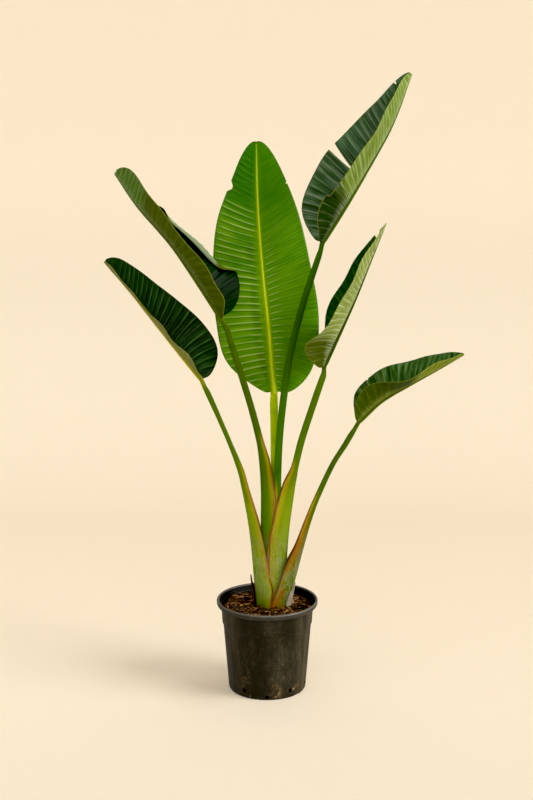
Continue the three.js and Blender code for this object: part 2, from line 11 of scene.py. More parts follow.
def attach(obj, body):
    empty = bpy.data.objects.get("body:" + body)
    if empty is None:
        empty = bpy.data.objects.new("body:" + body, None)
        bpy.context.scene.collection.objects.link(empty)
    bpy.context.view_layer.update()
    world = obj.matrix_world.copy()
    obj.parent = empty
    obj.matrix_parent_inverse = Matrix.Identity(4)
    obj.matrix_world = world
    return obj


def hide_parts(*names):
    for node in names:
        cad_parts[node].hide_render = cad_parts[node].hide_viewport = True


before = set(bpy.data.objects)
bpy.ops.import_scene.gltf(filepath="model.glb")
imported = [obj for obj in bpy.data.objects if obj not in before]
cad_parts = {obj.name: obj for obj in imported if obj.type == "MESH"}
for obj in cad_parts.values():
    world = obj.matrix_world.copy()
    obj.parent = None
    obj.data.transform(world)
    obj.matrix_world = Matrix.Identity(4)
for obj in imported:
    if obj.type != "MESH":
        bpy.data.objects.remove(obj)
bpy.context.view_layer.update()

mm = 0.001
print("frame loaded")


def deselectAll():
    bpy.ops.object.select_all(action="DESELECT")


def activate(piece):
    deselectAll()
    piece.select_set(True)
    bpy.context.view_layer.objects.active = piece


@contextmanager
def editMode(select=None):
    # edit mode for the lines under it, with all or none of the mesh selected first
    bpy.ops.object.mode_set(mode="EDIT")
    if select:
        bpy.ops.mesh.select_all(action=select)
    yield
    bpy.ops.object.mode_set(mode="OBJECT")


def applyModifier(piece, kind, **values):
    activate(piece)
    modifier = piece.modifiers.new(kind.lower(), kind)
    for key, value in values.items():
        setattr(modifier, key, value)
    bpy.ops.object.modifier_apply(modifier=modifier.name)


def selectOnly(piece, kind, wanted):
    # leaves the piece in object mode with only the wanted faces or edges selected
    activate(piece)
    with editMode():
        bpy.ops.mesh.select_mode(type=kind)
        bpy.ops.mesh.select_all(action="DESELECT")
    for item in piece.data.polygons if kind == "FACE" else piece.data.edges:
        item.select = wanted([piece.data.vertices[i] for i in item.vertices])


def settle(piece):
    # puts a piece's place, turn and size into its mesh
    activate(piece)
    bpy.ops.object.transform_apply(location=True, rotation=True, scale=True)


def faceOutward(piece, weld=0.00001):
    activate(piece)
    with editMode("SELECT"):
        bpy.ops.mesh.remove_doubles(threshold=weld)
        bpy.ops.mesh.normals_make_consistent(inside=False)


def join(pieces, name):
    deselectAll()
    for piece in pieces:
        piece.select_set(True)
    bpy.context.view_layer.objects.active = pieces[0]
    bpy.ops.object.join()
    joined = bpy.context.active_object
    joined.name = joined.data.name = name
    return joined


def gridPiece(name, columns, rows, place):
    # a grid primitive whose points are laid out by place(column, row) -> (point, u, v)
    deselectAll()
    bpy.ops.mesh.primitive_grid_add(x_subdivisions=columns, y_subdivisions=rows, size=1)
    piece = bpy.context.active_object
    mesh = piece.data
    piece.name = mesh.name = name
    laid = {}
    for vertex in mesh.vertices:
        column, row = round((vertex.co.x + 0.5) * columns), round((vertex.co.y + 0.5) * rows)
        laid[vertex.index] = place(column, row)
        vertex.co = laid[vertex.index][0]
    for loop in mesh.loops:
        mesh.uv_layers.active.data[loop.index].uv = laid[loop.vertex_index][1:]
    mesh.update()
    return piece


def dress(piece, node, materials, slot=None):
    if not piece.data.materials:
        for material in materials:
            piece.data.materials.append(material)
    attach(piece, "root")
    if node:
        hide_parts(node)
    slot or node


def through(rows, u):
    # smooth (Catmull-Rom) reading of rows of numbers at the fractional row u
    i = min(int(u), len(rows) - 2)
    f = u - i
    b, c = rows[i], rows[i + 1]
    a = rows[i - 1] if i > 0 else [2 * p - q for p, q in zip(b, c)]
    d = rows[i + 2] if i + 2 < len(rows) else [2 * q - p for p, q in zip(b, c)]
    return [0.5 * (2 * q + (r - p) * f + (2 * p - 5 * q + 4 * r - s) * f * f
                   + (3 * q - p - 3 * r + s) * f ** 3) for p, q, r, s in zip(a, b, c, d)]


def along(values, t):
    if isinstance(values, (int, float)):
        return values
    return through([[value] for value in values], t * (len(values) - 1))[0]


def smooth(x):
    x = min(max(x, 0), 1)
    return x * x * (3 - 2 * x)


def bladeHalf(width, opened, lean, ridge, curl=-5, **more):
    # width in millimetres, angle from the blade's 'up' direction and lean towards the tip, from base to tip
    return {"width": width, "open": opened, "lean": lean, "ridge": ridge, "curl": curl, **more}


# stalk rows: height, back, margin, side, half width, wall, in millimetres. halves are keyed by their side.
leaves = [
    {
        "name": "leaf_centre", "back": (0, 1, 0), "turnFrom": 640,
        "stalk": [
            (215, 10.4, 0.6, 9, 12, 8), (310, 10.4, 0.6, 10, 11.5, 8),
            (402, 10.4, 0.6, 11, 10.5, 8), (469, 10.4, 0.4, 13, 9, 8.5), (527, 9.4, -1.8, 16.4, 8, 10),
            (560, 16, 4, 16, 8, 11), (597, 27, 14, 16, 8.2, 12), (650, 31, 17, 16, 8.8, 13),
            (690, 34, 19.5, 15.5, 9.4, 13.5), (710, 34.6, 21, 15.8, 8.2, 12.6)],
        "rib": [(16, 28, 716), (3, 38, 861), (-12, 52, 1004), (-22, 72, 1145), (-25, 100, 1287)],
        "up": [(0, -1, 0.1), (0, -1, 0.1), (0, -1, 0.2)],
        "ribRadius": 4.4, "flare": 3.0, "tip": 0.9995,
        "halves": {
            -1: bladeHalf([49, 108, 118, 117, 111, 87, 78], 80,
                          [0.04, -0.01, 0.01, 0.03, -0.03, -0.01, 0.1], 1.0, 12, slide=0.14),
            1: bladeHalf([70, 103, 118, 114, 109, 94, 82], 80,
                         [-0.2, -0.25, -0.08, 0, 0.02, 0.08, 0.18], 0.25, 12, slide=0.2)},
        "tears": [{"side": -1, "at": 0.77, "start": 0.84, "gap": 0.02},
                  {"side": 1, "at": 0.75, "start": 0.95, "gap": 0.003}],
    },
    {
        "name": "leaf_upper_right", "back": (1, 0, 0), "turnFrom": 900,
        "stalk": [
            (215, 33.6, 8, -5.6, 4.9, 23), (310, 33.6, 9, -5.6, 4.9, 22),
            (402, 34.5, 11, -5.6, 4.8, 21), (440, 34.5, 14, -5.7, 4.6, 18), (469, 33.4, 18.8, -6, 4.7, 14),
            (500, 32.8, 17.5, -9.5, 7.3, 15), (548, 33.5, 16.5, -12.5, 8.3, 16),
            (606, 36, 19.5, -15, 8.4, 15.5), (676, 42, 25.5, -18, 8.3, 15.5), (784, 55.5, 39.5, -22, 8, 15),
            (870, 73, 57.5, -24, 7.8, 14.5), (946, 93, 78.5, -26, 7.4, 13.5),
            (1010, 113, 99.5, -28, 6.8, 12.5), (1045, 124, 111.5, -29, 6.4, 11.5)],
        "rib": [(123, -30, 1068), (177, -34, 1154), (228, -30, 1241), (277, -20, 1329), (321, 2, 1440)],
        "up": [(-0.85, 0, 0.5), (-0.86, 0, 0.5), (-0.88, 0, 0.47)],
        "ribRadius": 5.2, "flare": 0, "tip": 0.992,
        "halves": {
            1: bladeHalf([47, 97, 99, 106, 99, 89, 86], [74, 63, 63, 71, 68, 63, 46],
                         [0.08, -0.02, 0.04, -0.02, -0.1, -0.19, -0.39], 0.6, -6,
                         folds=[{"at": 0.27, "start": 0.45, "reach": 0.09, "before": -6, "beyond": 8}]),
            -1: bladeHalf([45, 101, 105, 91, 80, 69, 62], [45, 38, 27, 23, 22, 23, 28],
                          [-0.3, -0.11, 0.21, 0.27, 0.27, 0.26, 0.25], 0.9, -6, slide=0.02)},
        "tears": [{"side": -1, "at": 0.42, "start": 0.25, "gap": 0.018},
                  {"side": -1, "at": 0.9, "start": 0.8, "gap": 0.005},
                  {"side": 1, "at": 0.27, "start": 0.7, "gap": 0.003}],
    },
    {
        "name": "leaf_mid_right", "back": (1, 0, 0), "turnFrom": 620,
        "stalk": [
            (215, 45.5, 3, 0, 21.4, 8), (260, 46, 2, 0, 20.2, 8),
            (327, 47.5, 1, 0, 18.3, 8), (366, 50, 5, 0, 17.6, 8), (408, 54, 13, 0, 17, 8.5),
            (453, 60, 23, 0, 14.6, 9.5), (498, 66, 35.6, -2, 11.2, 11), (522, 70, 46, -3, 10, 12),
            (548, 74, 57, -5, 8.6, 14), (614, 89, 73, -12, 8, 14.5), (703, 115, 100, -25, 7.6, 14),
            (750, 129, 115, -34, 7, 12.5), (770, 135, 122, -37, 6.5, 12)],
        "rib": [(129, -40, 788), (164, -50, 869), (197.5, -62, 949), (227.5, -72, 1028), (263, -80, 1118)],
        "up": [(-0.9, 0, 0.43), (-0.9, 0, 0.43), (-0.92, 0, 0.4)],
        "ribRadius": 4.8, "flare": 0, "tip": 0.992,
        "halves": {
            1: bladeHalf([53, 93, 91, 89, 85, 78, 78], [66, 49, 62, 70, 70, 71, 76],
                         [0.01, -0.11, -0.18, -0.12, -0.12, -0.13, -0.08], 0.8, -6),
            -1: bladeHalf([68, 79, 66, 65, 66, 60, 34], [88, 82, 55, 56, 63, 68, 85],
                          [-0.27, -0.17, -0.17, -0.07, -0.02, -0.01, -0.04], 0.6, -6)},
        "tears": [{"side": -1, "at": 0.87, "start": 0.35, "gap": 0.03}],
    },
    {
        "name": "leaf_low_right", "back": (1, 0, 0), "turnFrom": 560,
        "stalk": [
            (215, 57, 11.4, 0, 27, 7.6), (255, 64, 28, 0, 25, 8),
            (303, 75.5, 43, -1, 21.5, 8.5), (350, 87, 65, -1.5, 16, 9.5), (399, 100, 83, -2, 11, 11),
            (436, 111.5, 96.5, -3, 8.4, 12), (470, 123.5, 110, -5, 7, 11.5), (548, 157, 144.5, -10, 6.5, 11),
            (600, 185.5, 173.5, -18, 6.3, 11), (630, 201.5, 190, -22, 6, 10.5)],
        "rib": [(209, -25, 654), (262, -35, 707), (322.5, -45, 746), (385, -50, 782.5), (447, -50, 818)],
        "up": [(-0.6, 0, 0.8), (-0.5, 0, 0.87), (-0.5, 0, 0.87)],
        "ribRadius": 4.4, "flare": 0, "tip": 0.992,
        "halves": {
            1: bladeHalf([74, 78, 81, 89, 77, 67, 54], [53, 46, 52, 74, 65, 67, 58],
                         [0.59, 0.32, 0.21, 0.13, -0.06, -0.12, -0.21], 0.4),
            -1: bladeHalf([45, 68, 72, 71, 64, 58, 40], [63, 50, 46, 53, 60, 60, 60],
                          [-0.05, -0.11, -0.1, -0.02, -0.01, -0.02, -0.09], 0.7)},
        "tears": [{"side": -1, "at": 0.22, "start": 0.93, "gap": 0.003}],
    },
    {
        "name": "leaf_upper_left", "back": (-1, 0, 0), "turnFrom": 700,
        "stalk": [
            (215, -16.5, 12, 0, 17.4, 7), (285, -16, 13, 0, 15.4, 7),
            (333, -16, 14, 0, 14.3, 7), (402, -15.5, 15.5, 0, 13.7, 8), (469, -15, 18, 0, 13.2, 8),
            (500, -15.8, 15.2, 0, 13, 9), (527, -17, 10.8, 0, 12.5, 10),
            (560, -19.5, 5.8, -5, 11.4, 11),
            (584, -22, -1.5, -8, 10.2, 12), (612, -26.5, -9.5, -11, 9, 14), (688, -44.5, -29, -20, 8, 14),
            (779, -70, -55.5, -32, 7.6, 13),
            (842, -88.5, -74.5, -42, 7.2, 13), (880, -99, -86.5, -47, 6.6, 12)],
        "rib": [(-105, -50, 902), (-159, -60, 988), (-216, -68, 1072), (-283.5, -72, 1150),
                (-336.5, -72, 1226)],
        "up": [(0.75, 0, 0.62), (0.78, 0, 0.62), (0.85, 0, 0.5)],
        "ribRadius": 5, "flare": 0, "tip": 0.992,
        "halves": {
            -1: bladeHalf([54, 89, 101, 100, 101, 120, 176], [72, 68, 67, 68, 63, 55, 50],
                          [0.19, -0.05, -0.21, -0.25, -0.22, -0.24, -0.04], 0.5),
            1: bladeHalf([74, 95, 94, 95, 88, 76, 60], [20, 30, 55, 69, 80, 78, 72], 0, 0.6,
                         roll={"start": 0.66, "turn": -215, "low": 0.16, "high": 0.72})},
        "tears": [],
    },
    {
        "name": "leaf_low_left", "back": (-1, 0, 0), "turnFrom": 620,
        "stalk": [
            (215, -27, 10.6, 0, 27, 7.6), (250, -30, 14, 0, 25.5, 7.6),
            (285, -33, 5, 0, 23, 8), (324, -36, -2, 0, 20, 8.5), (366, -40, -10, 0, 17.5, 9),
            (406, -45, -18.5, 0, 15, 10), (446, -51.5, -30, 0, 12.5, 11), (493, -60.5, -43.5, 0, 9.5, 13),
            (535, -70, -55, 0, 8, 13), (590, -89.5, -78, 5, 7, 11), (643, -111.5, -100.5, 10, 6.6, 10.5),
            (690, -132, -120.5, 15, 6.3, 11), (722, -147, -135.5, 18, 6, 10.5)],
        "rib": [(-152, 20, 745), (-207, 25, 813), (-262, 30, 882), (-317, 36, 951), (-376, 40, 1018)],
        "up": [(0.74, 0, 0.66), (0.75, 0, 0.66), (0.76, 0, 0.65)],
        "ribRadius": 4.6, "flare": 0, "tip": 0.992,
        "halves": {
            -1: bladeHalf([45, 67, 76, 71, 64, 60, 57], [75, 73, 78, 78, 81, 75, 66],
                          [0.29, 0.35, 0.25, 0.12, 0.02, -0.04, -0.08], 0.5),
            1: bladeHalf([41, 77, 84, 74, 66, 67, 88], [33, 21, 17, 19, 23, 24, 22],
                         [-0.33, -0.22, -0.07, 0.03, 0.05, 0, -0.09], 0.9)},
        "tears": [],
    },
]

for leaf in leaves:
    # each stalk goes on straight down into the soil
    leaf["stalk"].insert(0, (172, *leaf["stalk"][0][1:]))

bladeStyle = {
    "rowStep": 1.9,          # millimetres of rib between rows of points
    "columns": 24,           # across one half
    "thickness": 0.8 * mm,
    "ridgeSpacing": 14.0,    # millimetres between side ridges
    "marginWave": 3.0,       # millimetres that the margin swings up and down
    "slide": 0.32,           # how far side veins climb towards the tip on their way to the margin
    "ribGap": 0.8,
    "ribEnd": 0.93,          # the share of the blade at which the rib has thinned to a line
    "ribTip": 0.9,
}


def ribPoint(leaf, t):
    return Vector(through(leaf["rib"], t * (len(leaf["rib"]) - 1)))


def bladeAxes(leaf, t):
    step = 0.001
    ahead = (ribPoint(leaf, min(t + step, 1)) - ribPoint(leaf, max(t - step, 0))).normalized()
    lift = Vector(through(leaf["up"], t * (len(leaf["up"]) - 1)))
    lift = (lift - ahead * lift.dot(ahead)).normalized()
    return ahead, lift, ahead.cross(lift)


def ribRadius(leaf, t):
    flare = leaf["flare"] * math.exp(-t / 0.035)
    return bladeStyle["ribTip"] + flare + leaf["ribRadius"] * max(0, 1 - t / bladeStyle["ribEnd"]) ** 0.75


def outline(t):
    # width along the rib, with a round base and a pointed tip, as a share of the widest
    return math.sqrt(max(0, 1 - (1 - t) ** 9)) * max(0, 1 - t ** 3.2) ** 0.62


def sweep(t):
    # how far a half leans back at its base and forward further up, as a share of its width
    return -0.25 + 0.9 * t ** 1.5 - 0.35 * t ** 8


def heading(lift, side, sign, degrees):
    angle = math.radians(degrees)
    return lift * math.cos(angle) + side * (sign * math.sin(angle))


def tornShare(leaf, sign, t, v):
    # where the blade is torn, its rows part on both sides of the tear
    for tear in leaf["tears"]:
        if tear["side"] != sign or v <= tear["start"]:
            continue
        pull = tear["gap"] * (v - tear["start"]) / (1 - tear["start"])
        reach = tear["gap"] * 2.5
        away = t - tear["at"]
        if abs(away) < reach:
            t = tear["at"] + math.copysign(pull + abs(away) * (reach - pull) / reach, away)
    return t


def rolledShare(half, t, v):
    # 0 on the flat part of a half, 1 at the margin where it is rolled up
    roll = half.get("roll")
    if not roll:
        return 0
    window = smooth((t - roll["low"]) / 0.12) * smooth((roll["high"] - t) / 0.2)
    return window * smooth((v - roll["start"]) / (1 - roll["start"]))


def turned(half, t, v):
    # the blade's angle at the share v of its half, with its folds and its rolled margin
    turn = along(half["open"], t) + half["curl"] * v ** 1.3
    for fold in half.get("folds", []):
        away = (t - fold["at"]) / fold["reach"]
        bend = fold["beyond" if away > 0 else "before"]
        turn += bend * smooth((v - fold["start"]) / 0.3) * math.exp(-away * away)
    return turn + half.get("roll", {}).get("turn", 0) * rolledShare(half, t, v)


def bladePoint(leaf, sign, t, v):
    # a point of one half, at the share t of the rib and the share v of the way to the margin
    half = leaf["halves"][sign]
    t = min(max(t, 0), 1)
    ahead, lift, side = bladeAxes(leaf, t)
    width = along(half["width"], t) * outline(t)
    point = ribPoint(leaf, t) + heading(lift, side, sign, turned(half, t, 0)) \
        * (ribRadius(leaf, t) + bladeStyle["ribGap"])
    steps = 14 if "roll" in half or "folds" in half else 6
    for k in range(steps):
        turn = turned(half, t, v * (k + 0.5) / steps)
        point = point + heading(lift, side, sign, turn) * (width * v / steps)
    across = heading(lift, side, sign, turned(half, t, v)).cross(ahead) * sign
    wave = bladeStyle["marginWave"] * v * v * math.sin(24 * t + 2 * sign) * outline(t)
    lean = (sweep(t) + along(half["lean"], t)) * v ** 1.4
    return point + across * wave + ahead * (width * lean)


def halfRow(leaf, sign, t, columns):
    # one side vein: it climbs along the blade on its way out, and parts at a tear
    slide = leaf["halves"][sign].get("slide", bladeStyle["slide"]) * t * (1 - t)
    points = []
    for column in range(columns + 1):
        v = column / columns
        points.append(bladePoint(leaf, sign, tornShare(leaf, sign, t, v) + slide * v ** 0.8, v))
    return points


def ridgeCount(sign, length, v):
    # counts the side ridges along the leaf, unevenly; each half counts for itself
    drift = 0.3 * noise.noise(Vector((length / 70, v * 0.7, 3 * sign)))
    return length / bladeStyle["ridgeSpacing"] + drift + 0.37 * (sign + 1)


def ridgeRise(leaf, sign, length, v):
    swell = 0.75 + 0.7 * noise.noise(Vector((length / 26, v * 1.3, 9 + sign)))
    fromRib, toMargin = smooth((v - 0.02) / 0.13), smooth((v - 0.82) / 0.18)
    return leaf["halves"][sign]["ridge"] * swell * fromRib * (1 - 0.6 * toMargin)


def ridgeShape(count):
    # narrow crests, wide hollows and two small side folds
    crest = (0.5 - 0.5 * math.cos(2 * math.pi * count)) ** 2.2
    return 1.6 * (crest - 0.33) + 0.16 * math.sin(6 * math.pi * count)


def bladeLength(leaf):
    return sum((ribPoint(leaf, (k + 1) / 60) - ribPoint(leaf, k / 60)).length for k in range(60))


def bladeSpot(vertex):
    # the column, counted from the rib, and the row of a point in a blade's grid
    columns = bladeStyle["columns"]
    row, column = divmod(vertex.index, 2 * columns + 3)
    return column - columns - 1, row


def outward(column):
    # share of the way from rib to margin; the first column on each side is still at the rib
    return max(0, abs(column) - 1) / bladeStyle["columns"]


def makeBlade(leaf, materials):
    length = bladeLength(leaf)
    rows = round(length / bladeStyle["rowStep"])
    columns = bladeStyle["columns"]
    laid = []
    for row in range(rows + 1):
        t = leaf["tip"] * row / rows
        minus, plus = (halfRow(leaf, sign, t, columns) for sign in (-1, 1))
        laid.append(minus[::-1] + [ribPoint(leaf, t)] + plus)

    def place(column, row):
        return laid[row][column] * mm, outward(column - columns - 1), row / rows * length * mm

    piece = gridPiece(leaf["name"] + "_leaf", 2 * columns + 2, rows, place)
    mesh = piece.data
    layers = {"ridgeCount": [], "ridgeRise": [], "rolled": [], "plusHalf": []}
    raised = []
    for vertex in mesh.vertices:
        column, row = bladeSpot(vertex)
        share, t = outward(column), row / rows
        sign = 1 if column > 0 else -1
        count = ridgeCount(sign, t * length, share)
        rise = ridgeRise(leaf, sign, t * length, share) * min(1, 1.3 * outline(t))
        rolled = rolledShare(leaf["halves"][sign], t, share)
        for values, value in zip(layers.values(), (count, rise, rolled, smooth(column / 6 + 0.5))):
            values.append(value)
        raised.append(vertex.co + vertex.normal * (rise * ridgeShape(count) * mm))
    for vertex, point in zip(mesh.vertices, raised):
        vertex.co = point
    for name, values in layers.items():
        mesh.attributes.new(name, "FLOAT", "POINT").data.foreach_set("value", values)
    cutTears(piece, leaf, rows)
    for material in materials:
        mesh.materials.append(material)
    applyModifier(piece, "SOLIDIFY", thickness=bladeStyle["thickness"], offset=0,
                  material_offset=1, material_offset_rim=1, use_even_offset=False)
    activate(piece)
    bpy.ops.object.shade_smooth()
    return piece


def cutTears(piece, leaf, rows):
    # faces that a tear runs through are taken out, then loose points are welded
    def isTorn(corners):
        spots = [bladeSpot(corner) for corner in corners]
        low, high = (leaf["tip"] * pick(row for _, row in spots) / rows for pick in (min, max))
        inner = min(outward(column) for column, _ in spots)
        return any(low <= tear["at"] < high and inner >= tear["start"] - 0.001
                   and all(column * tear["side"] > 0 for column, _ in spots) for tear in leaf["tears"])

    selectOnly(piece, "FACE", isTorn)
    with editMode():
        bpy.ops.mesh.delete(type="FACE")
        bpy.ops.mesh.select_mode(type="VERT")
        bpy.ops.mesh.select_all(action="SELECT")
        bpy.ops.mesh.remove_doubles(threshold=0.00003)


stalkStyle = {
    "points": 18,            # across the outer face of a section, and again across the inner face
    "between": 7,            # rows of points from one section to the next
    "arm": 2.0,              # how thick a sheath is at its margins
    "ribSections": (0, 0.03, 0.06, 0.14, 0.24, 0.36, 0.48, 0.6, 0.72, 0.83, 0.93, 0.985),
    "ribWall": 1.9,          # a section of the rib is filled: its wall is nearly its width
    "ribArm": 0.25,
}


def section(point, back, side, deep, half, wall, arm):
    # a half ring that is open towards the front, wall deep at its back and arm wide at its margins
    outer, inner = [], []
    for k in range(stalkStyle["points"]):
        phi = math.pi * (k / (stalkStyle["points"] - 1) - 0.5)
        outer.append(point + back * (deep * math.cos(phi)) + side * (half * math.sin(phi)))
        inner.append(point + back * ((deep - wall) * math.cos(phi)) + side * ((half - arm) * math.sin(phi)))
    return outer + inner[::-1]


def stalkRings(leaf):
    firstBack = Vector(leaf["back"])
    startAhead, startLift, _ = bladeAxes(leaf, 0)
    base = ribPoint(leaf, 0).z
    rings = []
    for height, back, margin, side, half, wall in leaf["stalk"]:
        turn = smooth((height - leaf["turnFrom"]) / (base - leaf["turnFrom"]))
        axis = Vector((0, 0, 1)).lerp(startAhead, turn).normalized()
        behind = firstBack.lerp(-startLift, turn)
        behind = (behind - axis * behind.dot(axis)).normalized()
        point = Vector((margin, side, height)) if firstBack.x else Vector((side, margin, height))
        arm = min(stalkStyle["arm"], half * 0.3)
        rings.append(section(point, behind, axis.cross(behind), abs(back - margin), half, wall, arm))
    for t in stalkStyle["ribSections"]:
        ahead, lift, _ = bladeAxes(leaf, t)
        radius = ribRadius(leaf, t) if t < bladeStyle["ribEnd"] else bladeStyle["ribTip"] - 0.5 * (t > 0.95)
        rings.append(section(ribPoint(leaf, t), -lift, ahead.cross(-lift), radius, radius,
                             stalkStyle["ribWall"] * radius, stalkStyle["ribArm"] * radius))
    return rings


def makeStalk(leaf):
    count, between = stalkStyle["points"], stalkStyle["between"]
    rings = stalkRings(leaf)
    flat = [[value for point in ring for value in point] for ring in rings]
    rows = (len(rings) - 1) * between
    loops, lengths = [], [0]
    for row in range(rows + 1):
        numbers = through(flat, row / between)
        loop = [Vector(numbers[k:k + 3]) for k in range(0, len(numbers), 3)]
        loops.append(loop + [loop[0]])
        if row:
            before, here = (sum(points[:-1], Vector()) / (2 * count) for points in loops[-2:])
            lengths.append(lengths[-1] + (here - before).length)

    def place(column, row):
        last = count - 1
        share = column / last if column < count else 1 + min(column - count, last) / last
        return loops[row][column] * mm, 0.5 * share, lengths[row] * mm

    piece = gridPiece(leaf["name"] + "_stem", 2 * count, rows, place)
    with editMode("SELECT"):
        bpy.ops.mesh.remove_doubles(threshold=0.000001)
        bpy.ops.mesh.select_all(action="DESELECT")
        bpy.ops.mesh.select_mode(type="EDGE")
        bpy.ops.mesh.select_non_manifold()
        bpy.ops.mesh.fill()
        bpy.ops.mesh.select_all(action="SELECT")
        bpy.ops.mesh.normals_make_consistent(inside=False)
        bpy.ops.mesh.select_mode(type="VERT")
    bpy.ops.object.shade_smooth_by_angle(angle=math.radians(50))
    return piece, lengths[len(leaf["stalk"]) * between] * mm


def paint(code):
    # linear colour from an sRGB hex code
    values = [int(code[i:i + 2], 16) / 255 for i in (1, 3, 5)]
    linear = [c / 12.92 if c <= 0.04045 else ((c + 0.055) / 1.055) ** 2.4 for c in values]
    return (*linear, 1)


def addNode(tree, kind, inputs=None, **settings):
    node = tree.nodes.new(kind)
    for key, value in settings.items():
        setattr(node, key, value)
    for key, value in (inputs or {}).items():
        if isinstance(value, Value):
            tree.links.new(value.socket, node.inputs[key])
        else:
            node.inputs[key].default_value = paint(value) if isinstance(value, str) else value
    return node


def fetch(tree, kind, inputs=None, output=0, **settings):
    return Value(tree, addNode(tree, kind, inputs, **settings).outputs[output])


class Value:
    # a shader socket that is added, multiplied and mapped like a number

    def __init__(self, tree, socket):
        self.tree, self.socket = tree, socket

    def calc(self, operation, *others):
        return fetch(self.tree, "ShaderNodeMath", dict(enumerate((self, *others))), operation=operation)

    def __add__(self, other):
        return self.calc("ADD", other)

    def __sub__(self, other):
        return self.calc("SUBTRACT", other)

    def __rsub__(self, other):
        return fetch(self.tree, "ShaderNodeMath", {0: other, 1: self}, operation="SUBTRACT")

    def __mul__(self, other):
        return self.calc("MULTIPLY", other)

    def __abs__(self):
        return self.calc("ABSOLUTE")

    def span(self, low, high, start=0.0, end=1.0):
        # eases from start to end as this value goes from low to high
        return fetch(self.tree, "ShaderNodeMapRange", {0: self, 1: low, 2: high, 3: start, 4: end},
                     interpolation_type="SMOOTHSTEP")

    def part(self, axis):
        return fetch(self.tree, "ShaderNodeSeparateXYZ", {0: self}, axis)

    def stretched(self, *scale):
        return fetch(self.tree, "ShaderNodeMapping", {"Vector": self, "Scale": scale})

    def noise(self, scale, detail, **more):
        inputs = {"Vector": self, "Scale": scale, "Detail": detail, **more}
        return fetch(self.tree, "ShaderNodeTexNoise", inputs)

    def mix(self, first, second):
        # the first colour where this value is 0, the second where it is 1
        return fetch(self.tree, "ShaderNodeMix", {0: self, 6: first, 7: second}, 2, data_type="RGBA")

    def tint(self, share, other, blend="MIX"):
        # this colour with another one laid over it
        return fetch(self.tree, "ShaderNodeMix", {0: share, 6: self, 7: other}, 2,
                     data_type="RGBA", blend_type=blend)


def glazed(colour, layers):
    # a colour with others laid over it in turn, each by its own share
    for share, other in layers:
        colour = colour.tint(share, other)
    return colour


def objectPlace(tree):
    return fetch(tree, "ShaderNodeTexCoord", None, "Object")


def attribute(tree, name):
    return fetch(tree, "ShaderNodeAttribute", None, "Fac", attribute_name=name)


def combined(x, y, z):
    return fetch(x.tree, "ShaderNodeCombineXYZ", {0: x, 1: y, 2: z})


def newMaterial(name, roughness, specular=0.5):
    material = bpy.data.materials.new(name)
    material.use_nodes = True
    tree = material.node_tree
    tree.nodes.clear()
    values = {"Roughness": roughness, "Specular IOR Level": specular}
    surface = addNode(tree, "ShaderNodeBsdfPrincipled", values)
    output = addNode(tree, "ShaderNodeOutputMaterial")
    tree.links.new(surface.outputs[0], output.inputs[0])
    return material, tree, surface


def finish(surface, colour, height, strength, distance, roughness=None):
    # links a surface's colour, roughness and bump
    tree = colour.tree
    bump = fetch(tree, "ShaderNodeBump", {"Height": height, "Strength": strength, "Distance": distance})
    for key, value in (("Base Color", colour), ("Roughness", roughness), ("Normal", bump)):
        if value:
            tree.links.new(value.socket, surface.inputs[key])


def startGroup(name, setting, value):
    # a node group with one number going in
    tree = bpy.data.node_groups.new(name, "ShaderNodeTree")
    socket = tree.interface.new_socket(setting, in_out="INPUT", socket_type="NodeSocketFloat")
    socket.default_value = value
    return tree, fetch(tree, "NodeGroupInput")


def endGroup(tree, results):
    for label in results:
        tree.interface.new_socket(label, in_out="OUTPUT", socket_type="NodeSocketFloat")
    addNode(tree, "NodeGroupOutput", results)
    return tree


def useGroup(tree, group, setting):
    node = addNode(tree, "ShaderNodeGroup", node_tree=group)
    node.inputs[0].default_value = setting
    return {socket.name: Value(tree, socket) for socket in node.outputs}


def makeVeinGroup():
    # crests and grooves of the side ridges, and streaks that follow the side veins
    tree, seed = startGroup("sideVeins", "Seed", 0.0)
    uv = fetch(tree, "ShaderNodeUVMap")
    across = uv.part(0)
    count = attribute(tree, "ridgeCount")
    fromCrest = abs(count.calc("FRACT") - 0.5)
    fromShade = abs((count + 0.21).calc("FRACT") - 0.5)          # the dark line beside each crest
    fromSecond = abs((count * 2.0 + 0.5).calc("FRACT") - 0.5)    # a finer line between two crests

    def streaks(acrossScale, alongScale):
        return combined(across * acrossScale, count * alongScale, seed).noise(1.0, 3.0)

    return endGroup(tree, {
        "Crest": fromCrest.span(0.15, 0.02), "Groove": fromCrest.span(0.4, 0.49),
        "Shade": fromShade.span(0.12, 0.03), "Second": fromSecond.span(0.16, 0.02),
        "Fine": streaks(1.6, 7.0), "Broad": streaks(1.1, 1.3),
        "Rise": attribute(tree, "ridgeRise"), "Across": across, "Along": uv.part(1)})


def makeCloudGroup():
    # soft clouds and ragged flecks on object coordinates
    tree, scale = startGroup("clouds", "Scale", 10.0)
    place = objectPlace(tree)
    return endGroup(tree, {
        "Cloud": place.noise(scale, 4.0), "Fleck": place.noise(scale * 16.0, 2.0).span(0.68, 0.73)})


veinGroup = makeVeinGroup()
cloudGroup = makeCloudGroup()

